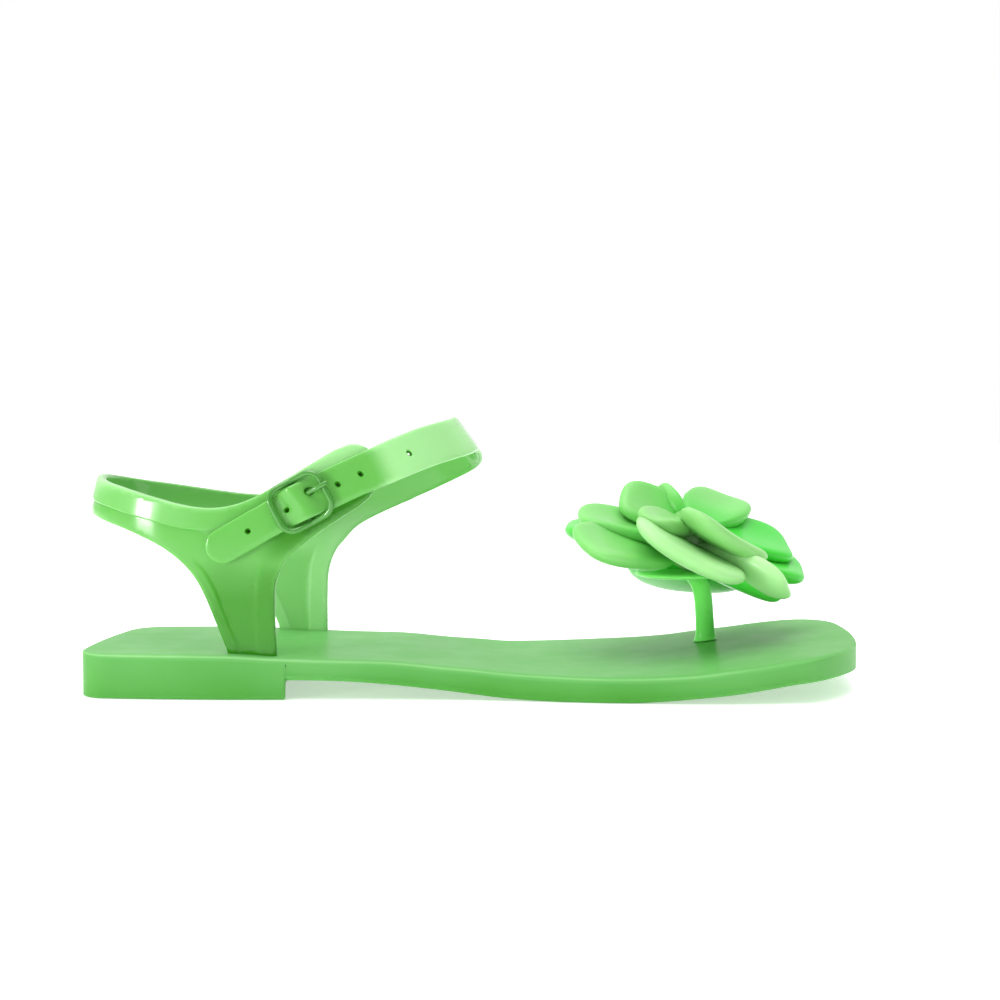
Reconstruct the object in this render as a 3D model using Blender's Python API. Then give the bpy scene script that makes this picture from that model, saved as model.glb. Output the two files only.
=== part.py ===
"""Jelly sandal, right shoe: moulded sole, ankle harness, toe post, petal flower and buckle."""

import math

import bmesh
import bpy
import numpy as np
from mathutils import Matrix, Vector
from mathutils.geometry import delaunay_2d_cdt

MM = 0.001

# Sole
SOLE_LENGTH = 252.0 * MM
SOLE_BREADTH = 89.6 * MM
HEEL_HEIGHT = 14.1 * MM
HEEL_BREAST = 0.264
HEEL_CORNER = 9.0 * MM
TOE_CORNER_OUTER = 21.0 * MM
TOE_CORNER_INNER = 15.0 * MM
EDGE_ROUND = 1.1 * MM
BREAST_BOW = 5.0 * MM
BACK_BOW = 2.5
BACK_BOW_CENTRE = -18.0 * MM
FRONT_BOW = 3.0
FRONT_BOW_CENTRE = 20.0 * MM

# Ankle harness
WALL = 2.4 * MM
STRAP_WALL = 2.0 * MM
STRAP_WIDTH = 10.8 * MM
CLEARANCE = 0.3 * MM
LOOP_BACK = -127.0 * MM
LOOP_FRONT = -1.6 * MM
LOOP_CENTRE_Y = -4.5 * MM
LOOP_POWER = 2.6
LOOP_MIDDLE_X = -64.0 * MM
REFERENCE_RISE = 47.9 * MM
FRONT_DROP = 18.0 * MM
STRAP_LOW = 63.5 * MM
FRONT_LEAN = 0.72
BACK_LEAN = 0.25
BACK_LOW = 43.9 * MM
HOLE_RADIUS = 0.75 * MM

# Buckle
BUCKLE_LENGTH = 17.8 * MM
BUCKLE_BAR = 0.82 * MM
BUCKLE_CORNER = 4.0 * MM
BUCKLE_SPARE = 1.0 * MM
BUCKLE_X = -55.0 * MM
BUCKLE_LEVEL = 46.9 * MM
CENTRE_BAR = 0.65 * MM
CENTRE_BAR_RISE = 1.05 * MM
LUG_RADIUS = 1.65 * MM
LUG_WIDTH = 2.2 * MM
LUG_OFFSET = 3.4 * MM
FRAME_SHIFT = 0.3 * MM
PRONG_WIDTH = 1.4 * MM
PRONG_THICK = 0.85 * MM
PRONG_SHIFT = 1.0 * MM
SLOT_AHEAD = 3.1 * MM
SLOT_LENGTH = 5.0 * MM
SLOT_WIDTH = 2.3 * MM
STRAP_HUMP = 2.95 * MM
HUMP_REACH = 7.0 * MM

# Toe post and flower
POST_X = 78.0 * MM
POST_Y = 17.5 * MM
POST_RADIUS = 3.3 * MM
FLOWER_X = 68.0 * MM
FLOWER_Y = 12.0 * MM
PLATE_Z = 34.6 * MM
FLOWER_Z = 40.6 * MM
POST_GAP = 0.6 * MM
PLATE_RADIUS = 15.0 * MM
PLATE_THICK = 2.4 * MM
PETAL_THICK = 6.0 * MM
PETAL_CUP = 2.2 * MM
PETAL_POWER = 3.2
HUB_RADIUS = 9.0 * MM
HUB_THICK = 18.0 * MM
FLOWER_TILT = math.radians(28.0)

# Sole rows: place along the length from the back of the heel, outer edge and inner edge as
# shares of the breadth, footbed height and underside height as shares of the heel height.
SOLE_ROWS = (
    (0.000, -0.402, 0.290, 1.000, 0.430),
    (0.060, -0.416, 0.302, 1.000, 0.430),
    (0.120, -0.428, 0.307, 1.000, 0.430),
    (0.190, -0.433, 0.310, 0.990, 0.430),
    (0.240, -0.432, 0.310, 0.940, 0.430),
    (0.290, -0.430, 0.307, 0.910, 0.425),
    (0.335, -0.427, 0.303, 0.887, 0.400),
    (0.381, -0.425, 0.301, 0.870, 0.343),
    (0.454, -0.427, 0.306, 0.752, 0.210),
    (0.502, -0.431, 0.320, 0.680, 0.105),
    (0.528, -0.438, 0.330, 0.632, 0.055),
    (0.575, -0.453, 0.375, 0.590, 0.008),
    (0.605, -0.466, 0.408, 0.573, 0.000),
    (0.647, -0.480, 0.446, 0.562, 0.000),
    (0.684, -0.487, 0.470, 0.567, 0.000),
    (0.718, -0.491, 0.485, 0.582, 0.030),
    (0.766, -0.497, 0.495, 0.640, 0.105),
    (0.813, -0.501, 0.498, 0.750, 0.195),
    (0.861, -0.498, 0.497, 0.850, 0.312),
    (0.900, -0.492, 0.494, 0.945, 0.410),
    (0.944, -0.480, 0.490, 1.022, 0.480),
    (1.000, -0.460, 0.486, 1.075, 0.535),
)

# Ankle loop rows: height above the heel seat and half width.
LOOP_ROWS = (
    (0.0, 28.6),
    (21.0, 28.8),
    (46.0, 28.0),
    (61.0, 26.6),
    (76.0, 25.0),
)

# Harness outline points: side, place along the foot, height above the heel seat. L outer side,
# M inner side, B middle of the back. Curves run one after the other round the harness.
REAR_EDGE = (
    ("L", -78.5, 0.2), ("L", -82.0, 8.9), ("L", -86.0, 18.5), ("L", -89.0, 23.7),
    ("L", -93.0, 28.1), ("L", -99.0, 32.5), ("L", -107.0, 36.3), ("L", -116.0, 39.5),
    ("B", -127.0, 43.9),
    ("M", -116.0, 41.9), ("M", -104.0, 38.9), ("M", -94.0, 34.3), ("M", -86.0, 27.5),
    ("M", -80.0, 18.9), ("M", -76.0, 9.9), ("M", -72.0, -0.1),
)
INNER_FRONT_EDGE = (
    ("M", -55.0, -0.8), ("M", -55.0, 11.9), ("M", -54.4, 20.9), ("M", -52.0, 27.4),
    ("M", -49.0, 31.1), ("M", -43.7, 36.5),
)
INNER_TOP_EDGE = (
    ("M", -44.0, 52.1), ("M", -56.0, 48.5), ("M", -69.0, 47.1), ("M", -82.0, 47.5),
    ("M", -92.0, 48.7), ("M", -102.0, 50.3), ("M", -113.0, 52.1),
    ("B", -127.0, 55.1),
    ("L", -117.0, 52.5), ("L", -111.0, 50.9), ("L", -102.0, 48.5), ("L", -93.0, 46.3),
    ("L", -85.0, 45.3), ("L", -78.0, 45.9), ("L", -70.3, 48.5), ("L", -61.0, 53.9),
    ("L", -52.0, 59.3), ("L", -44.0, 63.9), ("L", -38.5, 65.1), ("L", -34.0, 63.3),
    ("L", -32.2, 58.4), ("L", -32.2, 52.4), ("L", -34.3, 48.4),
)
OUTER_FRONT_EDGE = (
    ("L", -34.3, 48.4), ("L", -43.0, 42.3), ("L", -52.0, 36.1), ("L", -59.5, 29.5),
    ("L", -63.0, 22.9), ("L", -63.6, 13.9), ("L", -63.2, -0.5),
)
# Middle line of the strap from the inner side, round the front, to its tip.
STRAP_LINE = (
    ("M", -30.0, 50.5), ("M", -14.3, 57.9), ("M", -5.0, 63.3),
    ("F", 0.0, 68.3),
    ("O", -6.0, 67.8), ("O", -15.0, 64.7), ("O", -30.0, 58.5), ("O", -45.0, 51.8),
    ("O", -62.0, 43.3), ("O", -79.2, 33.5),
)
# Where the strap starts to lie over the quarter and where it lies on it.
OVERLAP_ROWS = (("O", -6.0, 67.9), ("O", -27.0, 58.9))
# Strap holes: place along the foot on the outer side.
STRAP_HOLES = (-16.6, -34.9, -43.4, -60.4, -71.8)
HOLE_LEVEL = 50.9 * MM

# Petals: level, tip place along, across and above the floor, width and roll.
PETAL_ROWS = (
    (0.0, 33.0, -15.0, 46.5, 26.0, -10.0),
    (0.0, 102.0, 4.0, 27.0, 28.0, 4.0),
    (0.0, 76.0, 38.0, 26.5, 44.0, -26.0),
    (0.0, 29.0, 16.0, 50.0, 24.0, -10.0),
    (0.7, 100.5, -14.0, 31.5, 20.0, -20.0),
    (1.0, 66.5, -26.0, 42.0, 40.0, 0.0),
    (1.0, 111.0, 12.0, 34.0, 24.0, 18.0),
    (1.0, 98.0, 36.0, 40.0, 26.0, 10.0),
    (1.0, 52.0, 42.0, 48.0, 26.0, 0.0),
    (1.0, 33.0, 6.0, 54.5, 19.0, -18.0),
    (2.0, 84.0, -16.0, 46.5, 33.0, -3.0),
    (2.0, 107.5, 20.0, 42.0, 25.0, 20.0),
    (2.0, 88.0, 34.0, 59.5, 24.0, -8.0),
    (2.0, 62.5, 24.0, 62.5, 13.0, 20.0),
    (2.0, 47.5, 12.0, 61.0, 18.0, -45.0),
    (2.0, 54.5, -10.0, 54.0, 15.0, 0.0),
)
LEVEL_RISE = 5.4 * MM


def clear():
    for thing in list(bpy.data.objects):
        bpy.data.objects.remove(thing, do_unlink=True)
    for mesh in list(bpy.data.meshes):
        bpy.data.meshes.remove(mesh)


def material(name, colour, roughness):
    made = bpy.data.materials.new(name)
    made.use_nodes = True
    shader = made.node_tree.nodes["Principled BSDF"]
    shader.inputs["Base Color"].default_value = (*colour, 1.0)
    shader.inputs["Roughness"].default_value = roughness
    shader.inputs["Metallic"].default_value = 0.0
    return made


def add_object(name, points, faces, made=None):
    mesh = bpy.data.meshes.new(name)
    mesh.from_pydata([tuple(p) for p in points], [], faces)
    mesh.update()
    work = bmesh.new()
    work.from_mesh(mesh)
    bmesh.ops.remove_doubles(work, verts=work.verts, dist=1e-6)
    bmesh.ops.recalc_face_normals(work, faces=work.faces)
    work.to_mesh(mesh)
    work.free()
    for face in mesh.polygons:
        face.use_smooth = True
    thing = bpy.data.objects.new(name, mesh)
    bpy.context.collection.objects.link(thing)
    if made:
        mesh.materials.append(made)
    return thing


def join_solids(target, others):
    """Unite closed solids with the target and drop the others."""
    bpy.context.view_layer.objects.active = target
    for other in others:
        step = target.modifiers.new("unite", "BOOLEAN")
        step.operation = "UNION"
        step.solver = "EXACT"
        step.object = other
        bpy.ops.object.modifier_apply(modifier=step.name)
    for other in others:
        bpy.data.objects.remove(other, do_unlink=True)


def curve_value(rows, column, place):
    """Monotone cubic through the rows of a table, read at a place in the first column."""
    xs = np.array([row[0] for row in rows])
    ys = np.array([row[column] for row in rows])
    steps = np.diff(xs)
    slopes = np.diff(ys) / steps
    bends = np.zeros(len(xs))
    for i in range(1, len(xs) - 1):
        if slopes[i - 1] * slopes[i] > 0:
            first = 2 * steps[i] + steps[i - 1]
            second = steps[i] + 2 * steps[i - 1]
            bends[i] = (first + second) / (first / slopes[i - 1] + second / slopes[i])
    place = min(max(place, xs[0]), xs[-1])
    i = min(int(np.searchsorted(xs, place, side="right")) - 1, len(xs) - 2)
    share = (place - xs[i]) / steps[i]
    rest = 1 - share
    return float(
        ys[i] * (1 + 2 * share) * rest**2
        + bends[i] * steps[i] * share * rest**2
        + ys[i + 1] * share**2 * (3 - 2 * share)
        - bends[i + 1] * steps[i] * share**2 * rest
    )


def corner_inset(distance, radius):
    """How far a rounded corner pulls the side in, at a distance from the end."""
    if distance >= radius:
        return 0.0
    return radius - math.sqrt(max(radius**2 - (radius - distance) ** 2, 0.0))


def sole_edges(place):
    """Outer and inner edge of the sole at a share of its length."""
    ahead = place * SOLE_LENGTH
    left = (1 - place) * SOLE_LENGTH
    outer = curve_value(SOLE_ROWS, 1, place) * SOLE_BREADTH
    inner = curve_value(SOLE_ROWS, 2, place) * SOLE_BREADTH
    outer += corner_inset(ahead, HEEL_CORNER) + corner_inset(left, TOE_CORNER_OUTER)
    inner -= corner_inset(ahead, HEEL_CORNER) + corner_inset(left, TOE_CORNER_INNER)
    return outer, inner


def sole_place_x(place, y):
    """Place along the foot, with the bowed back, breast and front lines."""
    x = (place - 0.5) * SOLE_LENGTH
    if abs(place - HEEL_BREAST) < 0.001:
        outer, inner = sole_edges(place)
        share = (2 * y - outer - inner) / (inner - outer)
        x -= BREAST_BOW * (1 - share**2)
    at_back = max(0.0, 1 - place / 0.16) ** 2
    at_front = max(0.0, (place - 0.75) / 0.25) ** 2
    x += at_back * BACK_BOW * (y - BACK_BOW_CENTRE) ** 2
    x -= at_front * FRONT_BOW * (y - FRONT_BOW_CENTRE) ** 2
    return x


def footbed_height(place):
    return curve_value(SOLE_ROWS, 3, place) * HEEL_HEIGHT


def under_height(place):
    if place < HEEL_BREAST:
        return 0.0
    return curve_value(SOLE_ROWS, 4, place) * HEEL_HEIGHT


def build_sole(made):
    ends = [0.0, 0.002, 0.006, 0.012, 0.02, 0.03, 0.045]
    middle = [0.08, 0.11, 0.14, 0.17, 0.205, 0.236, HEEL_BREAST - 0.0008, HEEL_BREAST]
    middle += [0.29 + 0.03 * i for i in range(22)]
    places = ends + middle + [1 - 1.5 * e for e in reversed(ends)]
    across = (0.0, 0.25, 0.5, 0.75, 1.0)
    points = []
    rings = []
    for place in places:
        outer, inner = sole_edges(place)
        top = footbed_height(place)
        low = under_height(place)
        rise = EDGE_ROUND
        ring = []
        for share in across:
            y = outer + rise + (inner - outer - 2 * rise) * share
            ring.append((y, top))
        ring.append((inner - 0.3 * rise, top - 0.3 * rise))
        ring.append((inner, top - rise))
        ring.append((inner, low + rise))
        ring.append((inner - 0.3 * rise, low + 0.3 * rise))
        for share in reversed(across):
            y = outer + rise + (inner - outer - 2 * rise) * share
            ring.append((y, low))
        ring.append((outer + 0.3 * rise, low + 0.3 * rise))
        ring.append((outer, low + rise))
        ring.append((outer, top - rise))
        ring.append((outer + 0.3 * rise, top - 0.3 * rise))
        start = len(points)
        points += [(sole_place_x(place, y), y, z) for y, z in ring]
        rings.append(range(start, start + len(ring)))
    faces = []
    count = len(rings[0])
    for one, two in zip(rings, rings[1:]):
        for i in range(count):
            j = (i + 1) % count
            faces.append((one[i], one[j], two[j], two[i]))
    for ring, turn in ((rings[0], 1), (rings[-1], -1)):
        top = ring[:5]
        low = list(reversed(ring[9:14]))
        for i in range(4):
            faces.append((top[i], top[i + 1], low[i + 1], low[i])[::turn])
        faces.append((ring[4], ring[5], ring[8], ring[9])[::turn])
        faces.append((ring[5], ring[6], ring[7], ring[8])[::turn])
        faces.append((ring[13], ring[14], ring[17], ring[0])[::turn])
        faces.append((ring[14], ring[15], ring[16], ring[17])[::turn])
    return add_object("sole", points, faces, made)


def loop_limits(height):
    """Back, front and half width of the ankle loop at a height."""
    rise = height - HEEL_HEIGHT
    back = LOOP_BACK + BACK_LEAN * max(0.0, rise - BACK_LOW)
    front = LOOP_FRONT - FRONT_LEAN * max(rise - STRAP_LOW, -FRONT_DROP)
    return back, front, curve_value(LOOP_ROWS, 1, rise / MM) * MM


def loop_point(angle, height):
    """Point of the middle skin; angle 0 at the back, half turn at the front."""
    back, front, half = loop_limits(height)
    along = -math.cos(angle)
    side = -math.sin(angle)
    power = 2 / LOOP_POWER
    x = (back + front) / 2 + (front - back) / 2 * math.copysign(abs(along) ** power, along)
    y = LOOP_CENTRE_Y - half * math.copysign(abs(side) ** power, side)
    return Vector((x, y, height))


ANGLES = np.linspace(0.0, math.pi, 721)
REFERENCE = [loop_point(a, HEEL_HEIGHT + REFERENCE_RISE) for a in ANGLES]
LENGTHS = np.concatenate(
    ([0.0], np.cumsum([(b - a).length for a, b in zip(REFERENCE, REFERENCE[1:])]))
)
HALF_LOOP = float(LENGTHS[-1])


def angle_of(run):
    """Angle of a run along the loop; negative runs lie on the outer side."""
    turns = math.floor((run + HALF_LOOP) / (2 * HALF_LOOP))
    rest = run - turns * 2 * HALF_LOOP
    angle = float(np.interp(abs(rest), LENGTHS, ANGLES))
    return math.copysign(angle, rest) + turns * 2 * math.pi


def run_of(side, x, height):
    """Run along the loop of a point named by side, place along the foot and height."""
    if side == "B":
        return 0.0
    if side == "F":
        return HALF_LOOP
    back, front, _ = loop_limits(height)
    share = (x - (back + front) / 2) / ((front - back) / 2)
    share = min(max(share, -1.0), 1.0)
    angle = math.acos(-math.copysign(abs(share) ** (LOOP_POWER / 2), share))
    run = float(np.interp(angle, ANGLES, LENGTHS))
    if side == "L":
        return -run
    if side == "O":
        return 2 * HALF_LOOP - run
    return run


def smooth_step(value, low, high):
    share = min(max((value - low) / (high - low), 0.0), 1.0)
    return share * share * (3 - 2 * share)


def pattern(rows):
    """Pattern points, run along the loop and height above the floor, of outline rows."""
    made = []
    for side, x, rise in rows:
        height = HEEL_HEIGHT + rise * MM
        made.append(Vector((run_of(side, x * MM, height), height)))
    return made


OVER_START, OVER_FULL = (p.x for p in pattern(OVERLAP_ROWS))


def smoothed(points, pitch):
    """Centripetal curve through pattern points, resampled at about the pitch."""
    fine = []
    ends = [2 * points[0] - points[1]] + points + [2 * points[-1] - points[-2]]
    for p0, p1, p2, p3 in zip(ends, ends[1:], ends[2:], ends[3:]):
        k1 = (p1 - p0).length ** 0.5
        k2 = k1 + (p2 - p1).length ** 0.5
        k3 = k2 + (p3 - p2).length ** 0.5
        for i in range(12):
            k = k1 + (k2 - k1) * i / 12
            a1 = p0 * ((k1 - k) / k1) + p1 * (k / k1)
            a2 = p1 * ((k2 - k) / (k2 - k1)) + p2 * ((k - k1) / (k2 - k1))
            a3 = p2 * ((k3 - k) / (k3 - k2)) + p3 * ((k - k2) / (k3 - k2))
            b1 = a1 * ((k2 - k) / k2) + a2 * (k / k2)
            b2 = a2 * ((k3 - k) / (k3 - k1)) + a3 * ((k - k1) / (k3 - k1))
            fine.append(b1 * ((k2 - k) / (k2 - k1)) + b2 * ((k - k1) / (k2 - k1)))
    fine.append(points[-1])
    return resampled(fine, pitch)


def resampled(line, pitch):
    runs = np.concatenate(([0.0], np.cumsum([(b - a).length for a, b in zip(line, line[1:])])))
    count = max(2, round(runs[-1] / pitch) + 1)
    marks = np.linspace(0, runs[-1], count)
    us = np.interp(marks, runs, [p.x for p in line])
    vs = np.interp(marks, runs, [p.y for p in line])
    return [Vector((float(u), float(v))) for u, v in zip(us, vs)]


STRAP_MIDDLE = smoothed(pattern(STRAP_LINE), 0.5 * MM)
BUCKLE_GOAL = run_of("O", BUCKLE_X, HEEL_HEIGHT + BUCKLE_LEVEL)
BUCKLE_INDEX = min(
    range(len(STRAP_MIDDLE)), key=lambda i: abs(STRAP_MIDDLE[i].x - BUCKLE_GOAL)
)
BUCKLE_RUN, BUCKLE_HEIGHT = STRAP_MIDDLE[BUCKLE_INDEX]
BUCKLE_AHEAD = STRAP_MIDDLE[BUCKLE_INDEX - 8] - STRAP_MIDDLE[BUCKLE_INDEX + 8]
BUCKLE_SLOPE = math.atan2(BUCKLE_AHEAD.y, -BUCKLE_AHEAD.x)


def strap_along(run, height):
    """Distance from the buckle centre along the strap, forward positive."""
    return (BUCKLE_RUN - run) * math.cos(BUCKLE_SLOPE) + (height - BUCKLE_HEIGHT) * math.sin(
        BUCKLE_SLOPE
    )


def skin_offset(run, height):
    """How far the middle skin stands off the loop, and the wall there."""
    over = smooth_step(run, OVER_START, OVER_FULL)
    wall = WALL + (STRAP_WALL - WALL) * smooth_step(run, 0.8 * HALF_LOOP, HALF_LOOP)
    off = over * (WALL / 2 + CLEARANCE + STRAP_WALL / 2)
    return off + STRAP_HUMP * hump_share(run, height), wall


def hump_share(run, height):
    """1 over the centre bar, falling to 0 where the strap lies flat again."""
    if run < OVER_FULL:
        return 0.0
    along = abs(strap_along(run, height))
    if along > HUMP_REACH:
        return 0.0
    return math.cos(math.pi / 2 * along / HUMP_REACH) ** 2


def skin_points(run, height):
    """Outer and inner point of the harness wall at a pattern point."""
    tiny = 0.05 * MM
    here = loop_point(angle_of(run), height)
    along = loop_point(angle_of(run + tiny), height) - loop_point(angle_of(run - tiny), height)
    up = loop_point(angle_of(run), height + tiny) - loop_point(angle_of(run), height - tiny)
    out = along.cross(up).normalized()
    away = here - Vector((LOOP_MIDDLE_X, LOOP_CENTRE_Y, height))
    if out.dot(away) < 0:
        out = -out
    off, wall = skin_offset(run, height)
    return here + out * (off + wall / 2), here + out * (off - wall / 2), out


def offset_line(line, distance):
    made = []
    for i, point in enumerate(line):
        ahead = line[min(i + 1, len(line) - 1)] - line[max(i - 1, 0)]
        side = Vector((-ahead.y, ahead.x)).normalized()
        made.append(point + side * distance)
    return made


def harness_outline(pitch):
    middle = smoothed(pattern(STRAP_LINE), pitch)
    half = STRAP_WIDTH / 2
    lower = offset_line(middle, -half)
    upper = offset_line(middle, half)
    end = middle[-1]
    ahead = (middle[-1] - middle[-2]).normalized()
    side = Vector((-ahead.y, ahead.x))
    tip = []
    for i in range(1, 12):
        turn = -math.pi / 2 + math.pi * i / 12
        tip.append(end + ahead * (half * math.cos(turn)) + side * (half * math.sin(turn)))
    front = smoothed(pattern(INNER_FRONT_EDGE) + lower[:3], pitch)
    top = smoothed(upper[2::-1] + pattern(INNER_TOP_EDGE), pitch)
    rear = smoothed(pattern(REAR_EDGE), pitch)
    outer = smoothed(pattern(OUTER_FRONT_EDGE), pitch)
    foot_in = resampled([rear[-1], front[0]], pitch)
    foot_out = resampled([outer[-1], rear[0]], pitch)
    return (
        rear[:-1] + foot_in[:-1] + front[:-1] + lower[2:] + tip + upper[:1:-1]
        + top[:-1] + outer[:-1] + foot_out[:-1]
    )


def inside(point, loop):
    hit = False
    for a, b in zip(loop, loop[1:] + loop[:1]):
        if (a.y > point.y) != (b.y > point.y):
            if point.x < (b.x - a.x) * (point.y - a.y) / (b.y - a.y) + a.x:
                hit = not hit
    return hit


def hole_loops():
    loops = []
    for x in STRAP_HOLES:
        goal = run_of("O", x * MM, HEEL_HEIGHT + HOLE_LEVEL)
        centre = min(STRAP_MIDDLE, key=lambda p: abs(p.x - goal))
        loops.append(
            [
                centre + HOLE_RADIUS * Vector((math.cos(a), math.sin(a)))
                for a in (math.tau * i / 10 for i in range(10))
            ]
        )
    slot = []
    for i in range(14):
        turn = math.tau * i / 14
        along = SLOT_AHEAD + SLOT_LENGTH / 2 * math.cos(turn)
        aside = PRONG_SHIFT + SLOT_WIDTH / 2 * math.sin(turn)
        run = BUCKLE_RUN - along * math.cos(BUCKLE_SLOPE) + aside * math.sin(BUCKLE_SLOPE)
        height = BUCKLE_HEIGHT + along * math.sin(BUCKLE_SLOPE) + aside * math.cos(BUCKLE_SLOPE)
        slot.append(Vector((run, height)))
    return loops + [slot]


def build_harness(made):
    outline = harness_outline(2.6 * MM)
    holes = hole_loops()
    flat = list(outline)
    edges = [(i, (i + 1) % len(outline)) for i in range(len(outline))]
    for hole in holes:
        start = len(flat)
        flat += hole
        edges += [(start + i, start + (i + 1) % len(hole)) for i in range(len(hole))]
    spacing = 3.2 * MM
    low_u = min(p.x for p in outline)
    high_u = max(p.x for p in outline)
    rows = int(90 * MM / spacing)
    for j in range(rows):
        v = j * spacing
        shift = 0.5 * spacing * (j % 2)
        for i in range(int((high_u - low_u) / spacing) + 1):
            point = Vector((low_u + i * spacing + shift, v))
            if not inside(point, outline):
                continue
            near_rim = min((point - q).length for q in outline) < 0.55 * spacing
            near_hole = any((point - q).length < 0.45 * spacing for h in holes for q in h)
            if not near_rim and not near_hole:
                flat.append(point)
    verts, _, faces, *_ = delaunay_2d_cdt(flat, edges, [], 0, 1e-7)
    kept = []
    for face in faces:
        centre = sum((verts[i] for i in face), Vector((0.0, 0.0))) / len(face)
        if inside(centre, outline) and not any(inside(centre, hole) for hole in holes):
            kept.append(tuple(face))
    used = sorted({i for face in kept for i in face})
    order = {old: new for new, old in enumerate(used)}
    count = len(used)
    outer = []
    inner = []
    for old in used:
        out_point, in_point, _ = skin_points(verts[old].x, verts[old].y)
        outer.append(out_point)
        inner.append(in_point)
    solid = []
    rims = {}
    for face in kept:
        ring = [order[i] for i in face]
        solid.append(tuple(ring))
        solid.append(tuple(i + count for i in reversed(ring)))
        for a, b in zip(ring, ring[1:] + ring[:1]):
            rims[(a, b)] = rims.get((a, b), 0) + 1
    for a, b in rims:
        if (b, a) not in rims:
            solid.append((b, a, a + count, b + count))
    harness = add_object("upper", outer + inner, solid, made)
    lugs = [build_lug(side) for side in (-1, 1)]
    join_solids(harness, lugs)
    return harness


def buckle_frame_axes():
    """Origin on the quarter's outer face under the buckle, with along, across and out."""
    run = BUCKLE_RUN - 2 * HALF_LOOP
    out_point, _, out = skin_points(run, BUCKLE_HEIGHT)
    step = 1.0 * MM
    ahead, _, _ = skin_points(
        run - step * math.cos(BUCKLE_SLOPE), BUCKLE_HEIGHT + step * math.sin(BUCKLE_SLOPE)
    )
    along = (ahead - out_point).normalized()
    across = out.cross(along).normalized()
    out = along.cross(across).normalized()
    return out_point, along, across, out


def buckle_point(along, across, rise):
    origin, t, b, n = buckle_frame_axes()
    return origin + t * along + b * across + n * rise


def tube(name, path, ups, half_side, half_up, sides, closed, made=None):
    """Round rod along a path; half sizes across and along the given up directions."""
    points = []
    count = len(path)
    for i, centre in enumerate(path):
        before = path[(i - 1) % count] if closed or i else path[i]
        after = path[(i + 1) % count] if closed or i < count - 1 else path[i]
        ahead = (after - before).normalized()
        side = ahead.cross(ups[i]).normalized()
        up = side.cross(ahead).normalized()
        for j in range(sides):
            turn = math.tau * (j + 0.5) / sides
            points.append(
                centre + side * (half_side * math.cos(turn)) + up * (half_up * math.sin(turn))
            )
    faces = []
    spans = count if closed else count - 1
    for i in range(spans):
        k = (i + 1) % count
        for j in range(sides):
            m = (j + 1) % sides
            faces.append((i * sides + j, i * sides + m, k * sides + m, k * sides + j))
    if not closed:
        faces.append(tuple(range(sides)))
        faces.append(tuple((count - 1) * sides + j for j in reversed(range(sides))))
    return add_object(name, points, faces, made)


def build_lug(side):
    """Ring of the quarter that carries the buckle's centre bar."""
    points = []
    sides = 16
    for across in (LUG_OFFSET - LUG_WIDTH / 2, LUG_OFFSET + LUG_WIDTH / 2):
        for radius in (LUG_RADIUS, CENTRE_BAR + 0.25 * MM):
            for j in range(sides):
                turn = math.tau * j / sides
                points.append(
                    buckle_point(
                        radius * math.cos(turn),
                        side * across,
                        CENTRE_BAR_RISE + radius * math.sin(turn),
                    )
                )
    faces = []
    for j in range(sides):
        k = (j + 1) % sides
        a, b, c, d = (0, sides, 2 * sides, 3 * sides)
        faces.append((a + j, a + k, b + k, b + j))
        faces.append((c + j, d + j, d + k, c + k))
        faces.append((a + j, c + j, c + k, a + k))
        faces.append((b + j, b + k, d + k, d + j))
    return add_object("lug", points, faces)


def build_buckle(made):
    half_length = BUCKLE_LENGTH / 2 - BUCKLE_BAR
    half_width = STRAP_WIDTH / 2 + BUCKLE_SPARE + BUCKLE_BAR
    corner = BUCKLE_CORNER
    low = CENTRE_BAR_RISE + 0.5 * MM
    high = CLEARANCE + STRAP_WALL + 0.5 * MM + BUCKLE_BAR
    _, _, _, out = buckle_frame_axes()
    path = []
    for qx, qy, start in ((1, 1, 0), (-1, 1, 90), (-1, -1, 180), (1, -1, 270)):
        for i in range(5):
            turn = math.radians(start + 90 * i / 4)
            along = qx * (half_length - corner) + corner * math.cos(turn)
            across = qy * (half_width - corner) + corner * math.sin(turn)
            path.append((along, across + FRAME_SHIFT))
        if qx * qy > 0:
            far = -qx * (half_length - corner)
            near = qx * (half_length - corner)
            edge = qy * half_width
            path += [(near + (far - near) * i / 6, edge + FRAME_SHIFT) for i in range(1, 6)]
    centres = []
    for along, across in path:
        share = min(1.0, abs(along) / (half_length - corner / 2))
        centres.append(buckle_point(along, across, low + (high - low) * share))
    frame = tube("buckle_frame", centres, [out] * len(path), BUCKLE_BAR, BUCKLE_BAR, 8, True, made)
    ends = [buckle_point(0, y, CENTRE_BAR_RISE) for y in (-half_width, half_width)]
    bar = tube("bar", ends, [out, out], CENTRE_BAR, CENTRE_BAR, 8, False)
    join_solids(frame, [bar])
    return frame


PRONG_ROWS = (
    (-1.5, 1.55), (-1.15, 2.1), (-0.4, 2.33), (0.7, 2.36), (1.9, 2.62), (3.2, 3.3), (4.8, 4.25),
    (6.6, 4.98), (8.3, 5.2), (9.7, 5.05), (10.4, 4.7),
)


def build_prong(made):
    _, _, _, out = buckle_frame_axes()
    path = [buckle_point(a * MM, PRONG_SHIFT, r * MM) for a, r in PRONG_ROWS]
    ups = [out] * len(path)
    return tube("buckle_prong", path, ups, PRONG_WIDTH / 2, PRONG_THICK / 2, 8, False, made)


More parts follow.
